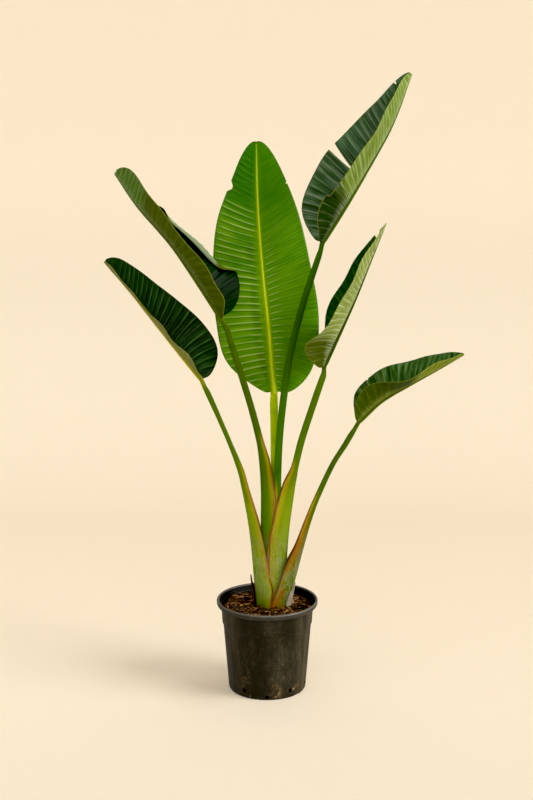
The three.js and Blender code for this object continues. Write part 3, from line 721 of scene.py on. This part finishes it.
# turnAt: where the underside's colour changes; calm: what is left of the streaks beyond the lower half
# sheen is a painted reflection between the ridges; groove is painted shade in the grooves and beside the
# crests
lookKeys = ("dark", "light", "deep", "crest", "rib", "edge", "underLow", "underHigh", "pale",
            "lines", "sheen", "turnAt", "gloss", "streaks", "calm", "groove")
leafLooks = {
    "leaf_centre": (
        "#4a9000", "#76ac08", "#2a6200", "#c4dc80", "#c0d420", "#3f7a04", "#5c7a1c", "#6c8c2c", "#a9bf77",
        0.7, 0.0, 0.5, 0.12, 0.35, 1.0, 0.8),
    "leaf_upper_right": (
        "#305820", "#56864e", "#122808", "#a0b498", "#6f8c30", "#2a4410", "#203e00", "#7c9a2c", "#c8d8a4",
        0.75, 0.6, 0.27, 0.25, 0.6, 0.35, 0.95),
    "leaf_mid_right": (
        "#1a4a08", "#306a10", "#103404", "#587f34", "#6f8c30", "#2a4410", "#4a5a00", "#96aa4c", "#e0eab8",
        0.5, 0.2, 0.2, 0.15, 0.6, 1.0, 0.8),
    "leaf_low_right": (
        "#1e460a", "#3a6e20", "#143004", "#8fac74", "#7c8c34", "#33501a", "#466000", "#839600", "#c4cc70",
        0.6, 0.45, 0.5, 0.2, 0.6, 1.0, 0.85),
    "leaf_upper_left": (
        "#001a00", "#062e04", "#001000", "#3f6a38", "#6c7c20", "#1c3a0c", "#5e7200", "#5c8a24", "#a4b890",
        0.35, 0.04, 0.72, 0.1, 0.7, 1.0, 0.7),
    "leaf_low_left": (
        "#001a00", "#0c3c02", "#001000", "#629c40", "#c4c020", "#0c2c04", "#969c50", "#8c9038", "#d0d4a4",
        0.5, 0.1, 0.5, 0.2, 0.7, 0.6, 0.85),
}
leafLooks = {name: dict(zip(lookKeys, values)) for name, values in leafLooks.items()}
# the centre leaf: painted shade on its plus half, the colour of its top, painted shade in a hollow beside the
# rib, a crack and short painted highlights at the rib
leafLooks["leaf_centre"].update(
    plus=("#4c9200", 0.45), top=("#1e7000", 0.9), trough=0.55, crack=0.768, nearRib=0.6)


def upperLeafMaterial(name, look, seed, length):
    material, tree, surface = newMaterial(name + "_upper", 0.34, look["gloss"])
    veins = useGroup(tree, veinGroup, seed)
    across, lengthwise, rise = veins["Across"], veins["Along"], veins["Rise"]
    fine, broad = veins["Fine"], veins["Broad"]
    cloud = useGroup(tree, cloudGroup, 9.0)["Cloud"]
    plusHalf = attribute(tree, "plusHalf")
    minusHalf = 1.0 - plusHalf
    towardTip = lengthwise.span(0.62 * length, 0.8 * length)
    crest, deep = look["crest"], look["deep"]

    def faded(low):
        # a leaf with a colour of its own towards the tip has fainter lines there
        return towardTip.span(0.0, 1.0, 1.0, low) if "top" in look else 1.0

    colour = (broad * 0.6 + cloud * 0.4).span(0.38, 0.62).mix(look["dark"], look["light"])
    # plus darkens the plus half as painted shade, where it faces away from the key light; top is the tip's
    # own colour
    for key, share in (("plus", plusHalf), ("top", towardTip * plusHalf.span(0.0, 1.0, 1.0, 0.6))):
        if key in look:
            colour = colour.tint(share * look[key][1], look[key][0])
    # painted shade in the hollow along the rib of the minus half
    if "trough" in look:
        hollowShade = across.span(0.05, 0.14) * across.span(0.34, 0.2) * minusHalf * cloud.span(0.35, 0.6)
        colour = colour.tint(hollowShade * look["trough"], deep)
    calm = lengthwise.span(0.3 * length, 0.5 * length, 1.0, look["calm"])
    # painted reflection: a pale sheen between the ridges
    sheenMask = broad.span(0.42, 0.66) * (1.0 - veins["Groove"])
    # pale lines on the raised crests: pale veins with a painted highlight where the ridges face the light
    crestHighlight = veins["Crest"] * rise.span(0.15, 0.9) * broad.span(0.3, 0.55, 0.35, 1.0)
    apex = lengthwise.span(0.988 * length, 0.996 * length) * across.span(0.3, 0.1)
    colour = glazed(colour, [
        (sheenMask * calm * look["sheen"], crest),
        # painted shade in the grooves
        (veins["Groove"] * rise * look["groove"], deep),
        (calm * fine.span(0.52, 0.72) * (0.3 * look["streaks"]), crest),
        (calm * fine.span(0.46, 0.3) * (0.5 * look["streaks"]), look["dark"]),
        # painted shade in the dark line beside each crest
        (veins["Shade"] * rise * (0.6 * look["groove"]), deep),
        (veins["Second"] * 0.2 * faded(0.2) * look["lines"], crest),
        (crestHighlight * faded(0.12) * look["lines"], crest),
        (across.span(0.03, 0.0) * 0.45, look["rib"]),
        (across.span(0.3, 0.0) * 0.18, look["light"]),
        (across.span(0.982, 0.992) * 0.8, look["edge"]),
        (apex * 0.8, "#5a3c10")])
    if "nearRib" in look:
        # short painted highlights on the crests near the rib of the plus half
        shortHighlight = across.span(0.34, 0.06) * across.span(0.02, 0.05) * plusHalf * veins["Crest"]
        shortHighlight = shortHighlight * lengthwise.span(0.66 * length, 0.45 * length)
        colour = colour.tint(shortHighlight * look["nearRib"], crest)
    if "crack" in look:
        crack = abs(lengthwise - look["crack"] * length).span(0.0016, 0.0006) * across.span(0.42, 0.6)
        colour = colour.tint(crack * minusHalf * 0.7, "#5c5a10")
    finish(surface, colour, fine, 0.35, 0.0012, fine.span(0.3, 0.75, 0.28, 0.44))
    return material


def underLeafMaterial(name, look, seed, length):
    material, tree, surface = newMaterial(name + "_under", 0.5, 0.12)
    veins = useGroup(tree, veinGroup, seed + 7)
    across, fine, broad = veins["Across"], veins["Fine"], veins["Broad"]
    cloud = useGroup(tree, cloudGroup, 11.0)["Cloud"]
    turn = look["turnAt"] * length
    outer = veins["Along"].span(turn - 0.02, turn + 0.03)
    # the upper right leaf's underLow is darker as painted shade on its lower lobe, which faces away from the
    # light
    colour = outer.mix(look["underLow"], look["underHigh"])
    darker = colour.tint(1.0, (0.62, 0.68, 0.5, 1), "MULTIPLY")
    paleShare = outer.span(0.0, 1.0, 0.15, 1.0)
    colour = glazed(colour, [
        (broad.span(0.56, 0.38) * 0.55, darker),
        # painted shade in the grooves
        (veins["Groove"] * 0.4, darker),
        (fine.span(0.5, 0.7) * paleShare * 0.5, look["pale"]),
        (veins["Crest"] * paleShare * cloud.span(0.3, 0.5) * 0.6, look["pale"]),
        (across.span(0.4, 0.02) * fine.span(0.35, 0.6) * 0.45, look["pale"]),
        # the rolled margin is painted pale: its underside's pale colour with a painted sheen
        (attribute(tree, "rolled").span(0.3, 0.6) * 0.8, look["pale"]),
        (across.span(0.982, 0.992) * 0.65, "#a4a850")])
    finish(surface, colour, fine, 0.45, 0.0015, broad.span(0.3, 0.7, 0.44, 0.6))
    return material


# sheathTop: the height, in metres, at which the sheath has closed into a round petiole
stalkKeys = ("petiole", "sheath", "rib", "sheathTop", "stain")
stalkLooks = {
    "leaf_centre": ("#b8d000", "#7c9c0c", "#dcec30", 0.45, 0.0),
    "leaf_upper_right": ("#3f7000", "#6a9c00", "#527400", 0.5, 0.0),
    "leaf_mid_right": ("#587c08", "#849c18", "#446200", 0.555, 0.25),
    "leaf_low_right": ("#4e7000", "#5e6e08", "#647c10", 0.475, 0.9),
    "leaf_upper_left": ("#567800", "#5c8806", "#6a8008", 0.62, 0.15),
    "leaf_low_left": ("#628800", "#94b01c", "#ccc818", 0.545, 0.2),
}


def stalkMaterial(name, look, bladeStart):
    material, tree, surface = newMaterial(name + "_stalk", 0.42, 0.2)
    uv, place = fetch(tree, "ShaderNodeUVMap"), objectPlace(tree)
    roundShare, length, height = uv.part(0), uv.part(1), place.part(2)
    fibre = combined(roundShare * 90.0, length * 10.0, 0.0).noise(1.0, 4.0)
    smear = place.stretched(1, 1, 0.28).noise(110.0, 4.0, Distortion=1.8)
    marks = useGroup(tree, cloudGroup, 16.0)
    top = look["sheathTop"]
    colour = height.span(top + 0.04, top - 0.14).mix(look["petiole"], look["sheath"])
    colour = colour.tint(length.span(bladeStart - 0.03, bladeStart + 0.02), look["rib"])
    darker = colour.tint(1.0, (0.5, 0.6, 0.4, 1), "MULTIPLY")
    bloom = height.span(0.42, 0.3) * height.span(0.21, 0.25)
    fromMargin = roundShare.calc("PINGPONG", 0.25)
    inSheath = height.span(top + 0.02, top - 0.02)
    yellow = inSheath * height.span(top - 0.2, top - 0.1, 0.35, 1.0) * fromMargin.span(0.09, 0.03)
    stained = inSheath * fromMargin.span(0.16, 0.04) * (fibre * 0.5 + marks["Cloud"] * 0.5).span(0.46, 0.53)
    margin = inSheath * fromMargin.span(0.018, 0.011)
    colour = glazed(colour, [
        (fibre.span(0.5, 0.68) * 0.5, darker),
        (marks["Cloud"].span(0.52, 0.7) * 0.5, darker),
        # bloom on the lower sheaths, as haze and as fine scribble, and moss and shade at the soil
        (bloom * smear.span(0.42, 0.62) * 0.2, "#b4bc9a"),
        (bloom * abs(smear - 0.5).span(0.035, 0.008) * 0.32, "#c8d0b0"),
        (height.span(0.25, 0.222) * smear.span(0.45, 0.6) * 0.3, "#6c8c64"),
        (height.span(0.222, 0.206) * 0.5, "#3c4c10"),
        # towards the margins of the sheath: yellow, stained, and at last brown and dry
        (yellow * 0.75, "#b4ac10"),
        (stained * look["stain"], "#a0600a"),
        (margin * 0.9, "#a8581c"),
        # pale tan fibres on the dry margin, partly a painted highlight
        (margin * fibre.span(0.48, 0.56) * 0.5, "#d4a074"),
        (margin * fibre.span(0.45, 0.4) * 0.8, "#3c1c08"),
        (marks["Fleck"] * height.span(0.62, 0.5) * 0.75, "#4a2e12")])
    finish(surface, colour, fibre, 0.3, 0.0008, fibre.span(0.3, 0.7, 0.36, 0.52))
    return material


for seed, leaf in enumerate(leaves):
    name, length = leaf["name"], bladeLength(leaf) * mm
    surfaces = [make(name, leafLooks[name], seed, length) for make in (upperLeafMaterial, underLeafMaterial)]
    blade = makeBlade(leaf, surfaces)
    dress(blade, name + "_blade", surfaces)
    stem, bladeStart = makeStalk(leaf)
    dress(stem, name + "_stalk", [stalkMaterial(name, dict(zip(stalkKeys, stalkLooks[name])), bladeStart)])
    print(name, "made:", len(blade.data.polygons), "and", len(stem.data.polygons), "faces")


# the arc from start to end, in degrees, is measured round the sheath that the remnant clings to;
# foot and top are its distance from that sheath, in millimetres
remnants = {
    "dry_sheath_left": {"leaf": "leaf_low_left", "height": 75, "start": -22, "end": 32, "thick": 2.8,
                        "foot": 5.6, "top": 5.6, "dark": "#160b06", "light": "#6a3216"},
    "dry_sheath_right": {"leaf": "leaf_low_right", "height": 60, "start": -45, "end": 10, "thick": 1.6,
                         "foot": 0.9, "top": 0.9, "dark": "#7c6e5a", "light": "#c4b8a2"},
}
remnantStyle = {"foot": 206.0, "columns": 24, "rows": 36, "leastGap": 0.8}


def makeRemnant(name, shape):
    leaf = next(item for item in leaves if item["name"] == shape["leaf"])
    middle = (shape["start"] + shape["end"]) / 2

    def place(column, row):
        share, x = row / remnantStyle["rows"], column / remnantStyle["columns"]
        ragged = 1 - 0.3 * abs(noise.noise(Vector((x * 5, 1.7, len(name))))) - 0.25 * (2 * x - 1) ** 2
        z = remnantStyle["foot"] + shape["height"] * share * ragged
        i = max(k for k, values in enumerate(leaf["stalk"]) if values[0] <= z)
        below, above = leaf["stalk"][i], leaf["stalk"][i + 1]
        part = (z - below[0]) / (above[0] - below[0])
        _, back, margin, side, half, _ = [p + (q - p) * part for p, q in zip(below, above)]
        spread = (shape["end"] - shape["start"]) * (1 - 0.35 * share ** 3)
        phi = math.radians(middle + spread * (x - 0.5))
        gap = shape["foot"] + (shape["top"] - shape["foot"]) * share + shape["thick"] / 2
        crumple = 1.2 * share * (x - 0.5) + 0.5 * noise.noise(Vector((x * 9, z / 9, 2)))
        gap = max(gap + crumple, remnantStyle["leastGap"])
        deep = (abs(back - margin) + gap) * math.cos(phi)
        point = Vector((margin + leaf["back"][0] * deep, side + (half + gap) * math.sin(phi), z))
        return point * mm, x, share * shape["height"] * mm

    piece = gridPiece(name + "_husk", remnantStyle["columns"], remnantStyle["rows"], place)
    applyModifier(piece, "SOLIDIFY", thickness=shape["thick"] * 0.6 * mm, offset=0)
    faceOutward(piece)
    bpy.ops.object.shade_smooth_by_angle(angle=math.radians(50))
    material, tree, surface = newMaterial(name, 0.8)
    fibre = fetch(tree, "ShaderNodeUVMap").stretched(26, 60, 1).noise(1.0, 5.0)
    finish(surface, fibre.span(0.35, 0.68).mix(shape["dark"], shape["light"]), fibre, 0.7, 0.001)
    dress(piece, name, [material])


for name, shape in remnants.items():
    makeRemnant(name, shape)
print("dried sheaths made")


pot = {
    "rim": 0.120, "height": 0.220, "lip": 0.014, "wallTop": 0.1093, "step": 0.163, "stepRadius": 0.105,
    "foot": 0.0916, "wall": 0.002, "steps": 144,
    "holes": 10, "holeRadius": 0.0046, "lowHole": 0.008, "highHole": 0.019,
    # the lip's section: inward from the rim and up from the lip's foot, then inward and down from the top
    "lipOutside": ((0.0022, 0.0014), (0.0008, 0.0040), (0.0002, 0.0085), (0, 0.0108)),
    "lipRoll": ((0.0004, 0.0018), (0.0014, 0.0005), (0.0028, 0), (0.0042, 0.0005), (0.0056, 0.0020),
                (0.0068, 0.0050)),
    # painted shade: the inside is painted near-black within these radii, above these heights
    "mouth": 0.1136, "mouthFoot": 0.206, "throat": 0.108, "throatFoot": 0.199,
}


def potWall(height, foot, step):
    # radius of the tapering wall, from the pot's foot up to its step
    return foot + (step - foot) * min(height, pot["step"]) / pot["step"]


def potProfile():
    # outer foot, wall, lip and inner wall, as radius and height
    rim, top, foot, step = pot["rim"], pot["height"], pot["foot"], pot["step"]
    lipFoot = top - pot["lip"]
    low = pot["stepRadius"] - 0.0005
    inner = pot["wallTop"] - pot["wall"]
    innerFoot = foot - pot["wall"]
    return [
        (0, 0.0015), (0.060, 0.0015), (0.066, 0.0), (foot - 0.004, 0.0), (foot - 0.0015, 0.0008),
        (foot - 0.0002, 0.0030),
        *((potWall(z, foot, low), z) for z in (0.006, 0.03, 0.08, 0.13, step - 0.0018)),
        (low + 0.0003, step - 0.0008), (low + 0.0016, step + 0.0006), (low + 0.0021, step + 0.0020),
        (0.1077, 0.183), (pot["wallTop"], lipFoot - 0.0006),
        (pot["wallTop"] + 0.0012, lipFoot + 0.0001), (rim - 0.0042, lipFoot + 0.0004),
        *((rim - inward, lipFoot + up) for inward, up in pot["lipOutside"]),
        *((rim - inward, top - down) for inward, down in pot["lipRoll"]),
        (inner + 0.0008, lipFoot - 0.001), (inner, lipFoot - 0.006), (low - pot["wall"] + 0.001, step),
        (potWall(0.08, foot, low) - pot["wall"], 0.08), (innerFoot, 0.006), (innerFoot - 0.003, 0.0032),
        (0.06, 0.0032), (0, 0.0032)]


def spunPiece(name, points, steps):
    # one point, extruded from place to place and spun round the upright axis
    deselectAll()
    bpy.ops.mesh.primitive_plane_add(size=0.001, location=(0, 0, 0))
    piece = bpy.context.active_object
    piece.name = name
    with editMode("SELECT"):
        bpy.ops.mesh.merge(type="CENTER")
        bpy.ops.transform.translate(value=(points[0][0], 0, points[0][1]))
        for (r0, z0), (r1, z1) in zip(points, points[1:]):
            bpy.ops.mesh.extrude_region_move(TRANSFORM_OT_translate={"value": (r1 - r0, 0, z1 - z0)})
        bpy.ops.mesh.select_all(action="SELECT")
        bpy.ops.mesh.spin(steps=steps, angle=2 * math.pi, center=(0, 0, 0), axis=(0, 0, 1))
    faceOutward(piece, 0.00002)
    return piece


def drillSet():
    drills = []
    for k in range(pot["holes"]):
        angle = 2 * math.pi * k / pot["holes"] - math.pi / 2
        height = pot["highHole" if k % 5 else "lowHole"]
        bpy.ops.mesh.primitive_cylinder_add(
            vertices=20, radius=pot["holeRadius"], depth=0.02,
            location=(pot["foot"] * math.cos(angle), pot["foot"] * math.sin(angle), height),
            rotation=(math.pi / 2, 0, angle + math.pi / 2))
        drills.append(bpy.context.active_object)
        settle(drills[-1])
    return join(drills, "drills")


def makePot():
    body = spunPiece("pot_body", potProfile(), pot["steps"])
    drills = drillSet()
    applyModifier(body, "BOOLEAN", operation="DIFFERENCE", solver="EXACT", object=drills)
    bpy.data.objects.remove(drills)
    activate(body)
    bpy.ops.object.shade_smooth_by_angle(angle=math.radians(35))
    return body


def potMaterial():
    material, tree, surface = newMaterial("pot_plastic", 0.4, 0.55)
    spot = objectPlace(tree)
    height = spot.part(2)
    radius = fetch(tree, "ShaderNodeVectorMath", {0: spot.stretched(1, 1, 0)}, "Value", operation="LENGTH")

    def cloudy(scale, detail=5.0, stretch=1.0, rough=0.6, twist=0.0):
        return spot.stretched(1, 1, stretch).noise(scale, detail, Roughness=rough, Distortion=twist)

    def within(rim, foot, soft):
        return radius.span(rim + soft, rim) * height.span(foot - 0.0005, foot + 0.0005)

    film = cloudy(14.0, 7.0, 0.6, 0.7)
    rub = cloudy(60.0, 5.0, 0.12, 0.7)
    crust = cloudy(64.0, 8.0, 0.8, 0.75, 1.2)
    region = cloudy(11.0, 2.0).span(0.44, 0.56)
    grit = cloudy(420.0, 2.0)
    scratch = abs(cloudy(26.0, 4.0, 1.0, 0.5, 3.0) - 0.5)
    dusty = film.span(0.45, 0.7) * rub.span(0.4, 0.65)
    # painted sheen: the left and right flanks, as seen from the front, are lighter, mottled like dust
    flankSheen = abs(spot.part(0)).span(0.05, 0.1) * rub.span(0.34, 0.58)
    lipFoot, top = pot["height"] - pot["lip"], pot["height"]
    # painted shade: the pot's inside and the crease under the lip are painted near-black
    inside = within(pot["mouth"], pot["mouthFoot"], 0.001)
    inside = inside.calc("MAXIMUM", within(pot["throat"], pot["throatFoot"], 0.0006))
    dirt = height.span(0.085, 0.005) * region * crust.span(0.52, 0.6)
    colour = glazed(film.span(0.35, 0.68).mix("#231e0e", "#322b18"), [
        (dusty * 0.4, "#5c5540"),
        (flankSheen * 0.5, "#6e6446"),
        # painted reflection: the lip's outer face is lighter
        (height.span(lipFoot - 0.001, lipFoot + 0.002) * 0.7, "#4c4a40"),
        # painted highlight along the top edge of the lip
        (height.span(top - 0.0045, top - 0.001) * 0.6, "#7c7a72"),
        (inside, "#030403"),
        (dirt * 0.75, "#6a4f27"),
        (height.span(0.1, 0.02) * crust.span(0.62, 0.66) * 0.85, "#a58c5e"),
        (grit.span(0.66, 0.72) * film.span(0.35, 0.6) * 0.7, "#a4936a"),
        (scratch.span(0.012, 0.002) * rub.span(0.5, 0.62) * 0.45, "#8d8468")])
    rough = (film.span(0.3, 0.7, 0.34, 0.5) + dirt * 0.35).calc("MAXIMUM", inside * 0.9)
    finish(surface, colour, rub + dirt * 0.6, 0.2, 0.0006, rough)
    return material


potPiece = makePot()
dress(potPiece, "pot", [potMaterial()])
print("pot made:", len(potPiece.data.polygons), "faces")


soil = {
    "top": 0.202, "mound": 0.0035, "gap": 0.0024, "foot": 0.0036, "stemCentre": 0.015, "rings": 56,
    "segments": 150, "seed": 11,
}


def soilHeight(x, y):
    # flat with crumbs of three sizes, a little higher round the stems and calmer at the edge
    away = math.hypot(x - soil["stemCentre"], y * 1.3)
    level = smooth((away - 0.040) / 0.030)
    edge = 1 - smooth((math.hypot(x, y) - 0.088) / 0.016)
    bumps = [size * noise.noise(Vector((x * scale, y * scale, layer)))
             for size, scale, layer in ((0.0022, 60, 0.3), (0.0012, 190, 4.1), (0.0006, 420, 8))]
    return soil["top"] + soil["mound"] * (1 - level) + sum(bumps) * (0.35 + 0.65 * edge)


def makeSoil():
    top = pot["wallTop"] - soil["gap"] - 0.0006
    walls = [(potWall(z, pot["foot"], pot["stepRadius"]) - soil["gap"], z) for z in (0.008, 0.08, 0.155)]
    rings = [(top * (1 - k / soil["rings"]), soil["top"]) for k in range(soil["rings"] + 1)]
    profile = [(0, soil["foot"]), (pot["foot"] - 0.0062, soil["foot"]), *walls, (top - 0.0005, 0.192), *rings]
    piece = spunPiece("soil_body", profile, soil["segments"])
    for vertex in piece.data.vertices:
        if vertex.co.z > soil["top"] - 0.003:
            vertex.co.z = soilHeight(vertex.co.x, vertex.co.y)
    piece.data.update()
    activate(piece)
    bpy.ops.object.shade_smooth()
    return piece


def soilMaterial():
    material, tree, surface = newMaterial("potting_mix", 0.9, 0.2)
    place = objectPlace(tree)
    grain = place.noise(260.0, 8.0)
    colour = glazed(grain.span(0.35, 0.7).mix("#1c150c", "#4c3a24"), [
        (place.noise(60.0, 4.0).span(0.5, 0.7) * 0.5, "#1c1209"),
        # painted shade: the soil below the surface, seen through the drain holes, is near-black
        (place.part(2).span(0.196, 0.190), "#060403")])
    finish(surface, colour, grain, 0.9, 0.003)
    return material


# sizes: shortest and longest piece. sink: how far a piece's middle lies above the soil, in its lengths.
litter = {
    "bark_chips": {"kind": "chip", "count": 190, "sizes": (0.004, 0.014), "sink": 0.02, "reach": 0.1,
                   "wood": "bark", "colours": ("#140e08", "#332516", "#6e5230")},
    "pale_chips": {"kind": "splinter", "count": 80, "sizes": (0.005, 0.012), "sink": 0.1, "reach": 0.1,
                   "wood": "paleWood", "colours": ("#6a4820", "#a8803c", "#dcc080")},
    "wood_fibres": {"kind": "splinter", "count": 640, "sizes": (0.008, 0.026), "sink": 0.11, "reach": 0.1,
                    "wood": "fibre", "colours": ("#28180c", "#6c4620", "#c08c50")},
    "soil_crumbs": {"kind": "crumb", "count": 1000, "sizes": (0.0015, 0.005), "sink": 0.15, "reach": 0.103,
                    "wood": "crumb", "colours": ("#100b06", "#2c2013", "#58432a")},
}
kinds = {"chip": (1, 0.5, 0.22), "splinter": (1, 0.13, 0.09), "crumb": (0.8, 0.7, 0.6)}


def chipModel(kind):
    # a bark chip, a splinter or a crumb, one unit long
    deselectAll()
    bpy.ops.mesh.primitive_cube_add(size=1)
    model = bpy.context.active_object
    with editMode("SELECT"):
        bpy.ops.transform.resize(value=kinds[kind])
        bpy.ops.mesh.subdivide(number_cuts=1 if kind != "splinter" else 2, smoothness=0.3)
    draw = random.Random(len(kind))
    for vertex in model.data.vertices:
        vertex.co.x *= draw.uniform(0.8, 1.15)
        vertex.co.y *= draw.uniform(0.7, 1.25)
        vertex.co.z *= draw.uniform(0.6, 1.3)
        if kind == "splinter":
            vertex.co.z -= 0.35 * vertex.co.x ** 2
    model.data.update()
    return model


def scatter(name, item, seed):
    # copies of one model laid in the soil's surface, clear of the stems
    draw = random.Random(seed)
    model = chipModel(item["kind"])
    shortest, longest = item["sizes"]
    copies = []
    while len(copies) < item["count"]:
        angle = draw.uniform(0, 2 * math.pi)
        radius = item["reach"] * math.sqrt(draw.random())
        x, y = radius * math.cos(angle), radius * math.sin(angle)
        if math.hypot((x - soil["stemCentre"]) / 0.045, y / 0.030) < 1:
            continue
        length = shortest + (longest - shortest) * draw.random() ** 2
        copy = model.copy()
        copy.data = model.data.copy()
        tint = copy.data.attributes.new("tint", "FLOAT", "POINT")
        tint.data.foreach_set("value", [draw.random()] * len(copy.data.vertices))
        bpy.context.collection.objects.link(copy)
        copy.scale = (length, length * draw.uniform(0.7, 1.3), length * draw.uniform(0.7, 1.2))
        copy.rotation_euler = (draw.uniform(-0.5, 0.5), draw.uniform(-0.45, 0.45), draw.uniform(0, math.pi))
        copy.location = (x, y, soilHeight(x, y) + length * item["sink"])
        copies.append(copy)
    bpy.data.objects.remove(model)
    piece = join(copies, name)
    settle(piece)
    faceOutward(piece, 0.0000001)
    return piece


def woodMaterial(name, dark, middle, light):
    # each chip keeps one tint of its own, and most are dark
    material, tree, surface = newMaterial(name, 0.72, 0.3)
    grain = objectPlace(tree).noise(380.0, 5.0)
    share = attribute(tree, "tint") + grain.span(0.3, 0.7, -0.18, 0.18)
    colour = share.span(0.3, 0.75).mix(dark, middle).tint(share.span(0.72, 1.0), light)
    finish(surface, colour, grain, 0.6, 0.0008)
    return material


dress(makeSoil(), "soil", [soilMaterial()])
for seed, (name, item) in enumerate(litter.items(), soil["seed"]):
    dress(scatter(name, item, seed), None, [woodMaterial(item["wood"], *item["colours"])], "soil")
print("soil made")


studio = {
    "floor": "#ecdfc9", "wallAt": 2.6, "wide": 14.0, "tall": 7.0, "round": 1.2,
    # the paper's own light, and how it changes towards the wall, on the wall and in the plant's shade
    "glow": 0.275, "farDip": 0.14, "farEnd": 1.7, "wallRise": 0.145,
    "shade": (-0.155, -0.045), "shadeReach": 0.13, "shadeDip": 0.12,
    "warm": (1.0, 0.97, 0.92), "world": 0.2, "blackPoint": 0.01,
}
# the direction each sun shines from (side, front, height), its softness in degrees and its strength
suns = {
    "key": {"source": (0.81, -0.31, 0.5), "soft": 34, "strength": 2.25, "tint": (1.0, 0.98, 0.96)},
    "top": {"source": (-0.3, -0.45, 0.85), "soft": 60, "strength": 0.45, "tint": studio["warm"]},
    "front": {"source": (0.2, -0.95, 0.35), "soft": 70, "strength": 0.62, "tint": studio["warm"]},
}
view = {"place": (-0.0017, -3.385, 1.433), "downward": 12.18, "lens": 67.5, "sensor": 36}


def paperMaterial():
    material, tree, surface = newMaterial("studioPaper", 0.95, 0.05)
    for key in ("Base Color", "Emission Color"):
        surface.inputs[key].default_value = paint(studio["floor"])
    place = objectPlace(tree)
    upright = abs(fetch(tree, "ShaderNodeNewGeometry", None, "Normal").part(2))
    middle = (*studio["shade"], 0)
    reach = fetch(tree, "ShaderNodeVectorMath", {0: place, 1: middle}, "Value", operation="DISTANCE")
    glow = studio["glow"] - place.part(1).span(0.0, studio["farEnd"], 0.0, studio["farDip"]) \
        + upright.span(0.5, 0.0, 0.0, studio["wallRise"]) \
        - reach.span(studio["shadeReach"], 0.0, 0.0, studio["shadeDip"])
    seen = fetch(tree, "ShaderNodeLightPath", None, "Is Camera Ray")
    tree.links.new((seen * glow).socket, surface.inputs["Emission Strength"])
    # the paper's back is clear, so that views from behind show the plant
    back = fetch(tree, "ShaderNodeNewGeometry", None, "Backfacing")
    clear = fetch(tree, "ShaderNodeBsdfTransparent")
    sheet = fetch(tree, "ShaderNodeMixShader", {0: back, 1: Value(tree, surface.outputs[0]), 2: clear})
    output = next(node for node in tree.nodes if node.type == "OUTPUT_MATERIAL")
    tree.links.new(sheet.socket, output.inputs["Surface"])
    return material


def makeBackdrop():
    # a sheet of paper that lies under the plant and curves up behind it
    deselectAll()
    middle = studio["wallAt"] - studio["wide"] / 2
    bpy.ops.mesh.primitive_plane_add(size=studio["wide"], location=(0, middle, 0))
    floor = bpy.context.active_object
    floor.name = "floor"
    settle(floor)
    far = studio["wallAt"] - 0.01
    selectOnly(floor, "EDGE", lambda ends: all(end.co.y > far for end in ends))
    with editMode():
        bpy.ops.mesh.extrude_region_move(TRANSFORM_OT_translate={"value": (0, 0, studio["tall"])})
    selectOnly(floor, "EDGE", lambda ends: all(end.co.y > far and end.co.z < 0.01 for end in ends))
    with editMode():
        bpy.ops.mesh.bevel(offset=studio["round"], segments=24, affect="EDGES")
        bpy.ops.mesh.select_mode(type="VERT")
    bpy.ops.object.shade_smooth()
    floor.data.materials.append(paperMaterial())
    floor.visible_glossy = False


def addSun(name, source, soft, strength, tint):
    bpy.ops.object.light_add(type="SUN", location=Vector(source) * 4)
    light = bpy.context.active_object
    light.name = name
    light.data.angle = math.radians(soft)
    light.data.energy = strength
    light.data.color = tint
    light.rotation_euler = (-Vector(source)).to_track_quat("-Z", "Y").to_euler()


makeBackdrop()
for name, sun in suns.items():
    addSun(name, **sun)
world = bpy.data.worlds.new("studio")
world.use_nodes = True
sky = world.node_tree.nodes["Background"]
sky.inputs[0].default_value = (*studio["warm"], 1)
sky.inputs[1].default_value = studio["world"]
bpy.context.scene.world = world

bpy.ops.object.camera_add(location=view["place"], rotation=(math.radians(90 - view["downward"]), 0, 0))
camera = bpy.context.active_object
camera.data.lens = view["lens"]
camera.data.sensor_width = view["sensor"]
camera.data.sensor_fit = "AUTO"
bpy.context.scene.camera = camera
grade = bpy.context.scene.view_settings
grade.view_transform = "Standard"
grade.use_curve_mapping = True          # deep blacks, as in a print
grade.curve_mapping.black_level = [studio["blackPoint"]] * 3
grade.curve_mapping.update()
print("studio made")
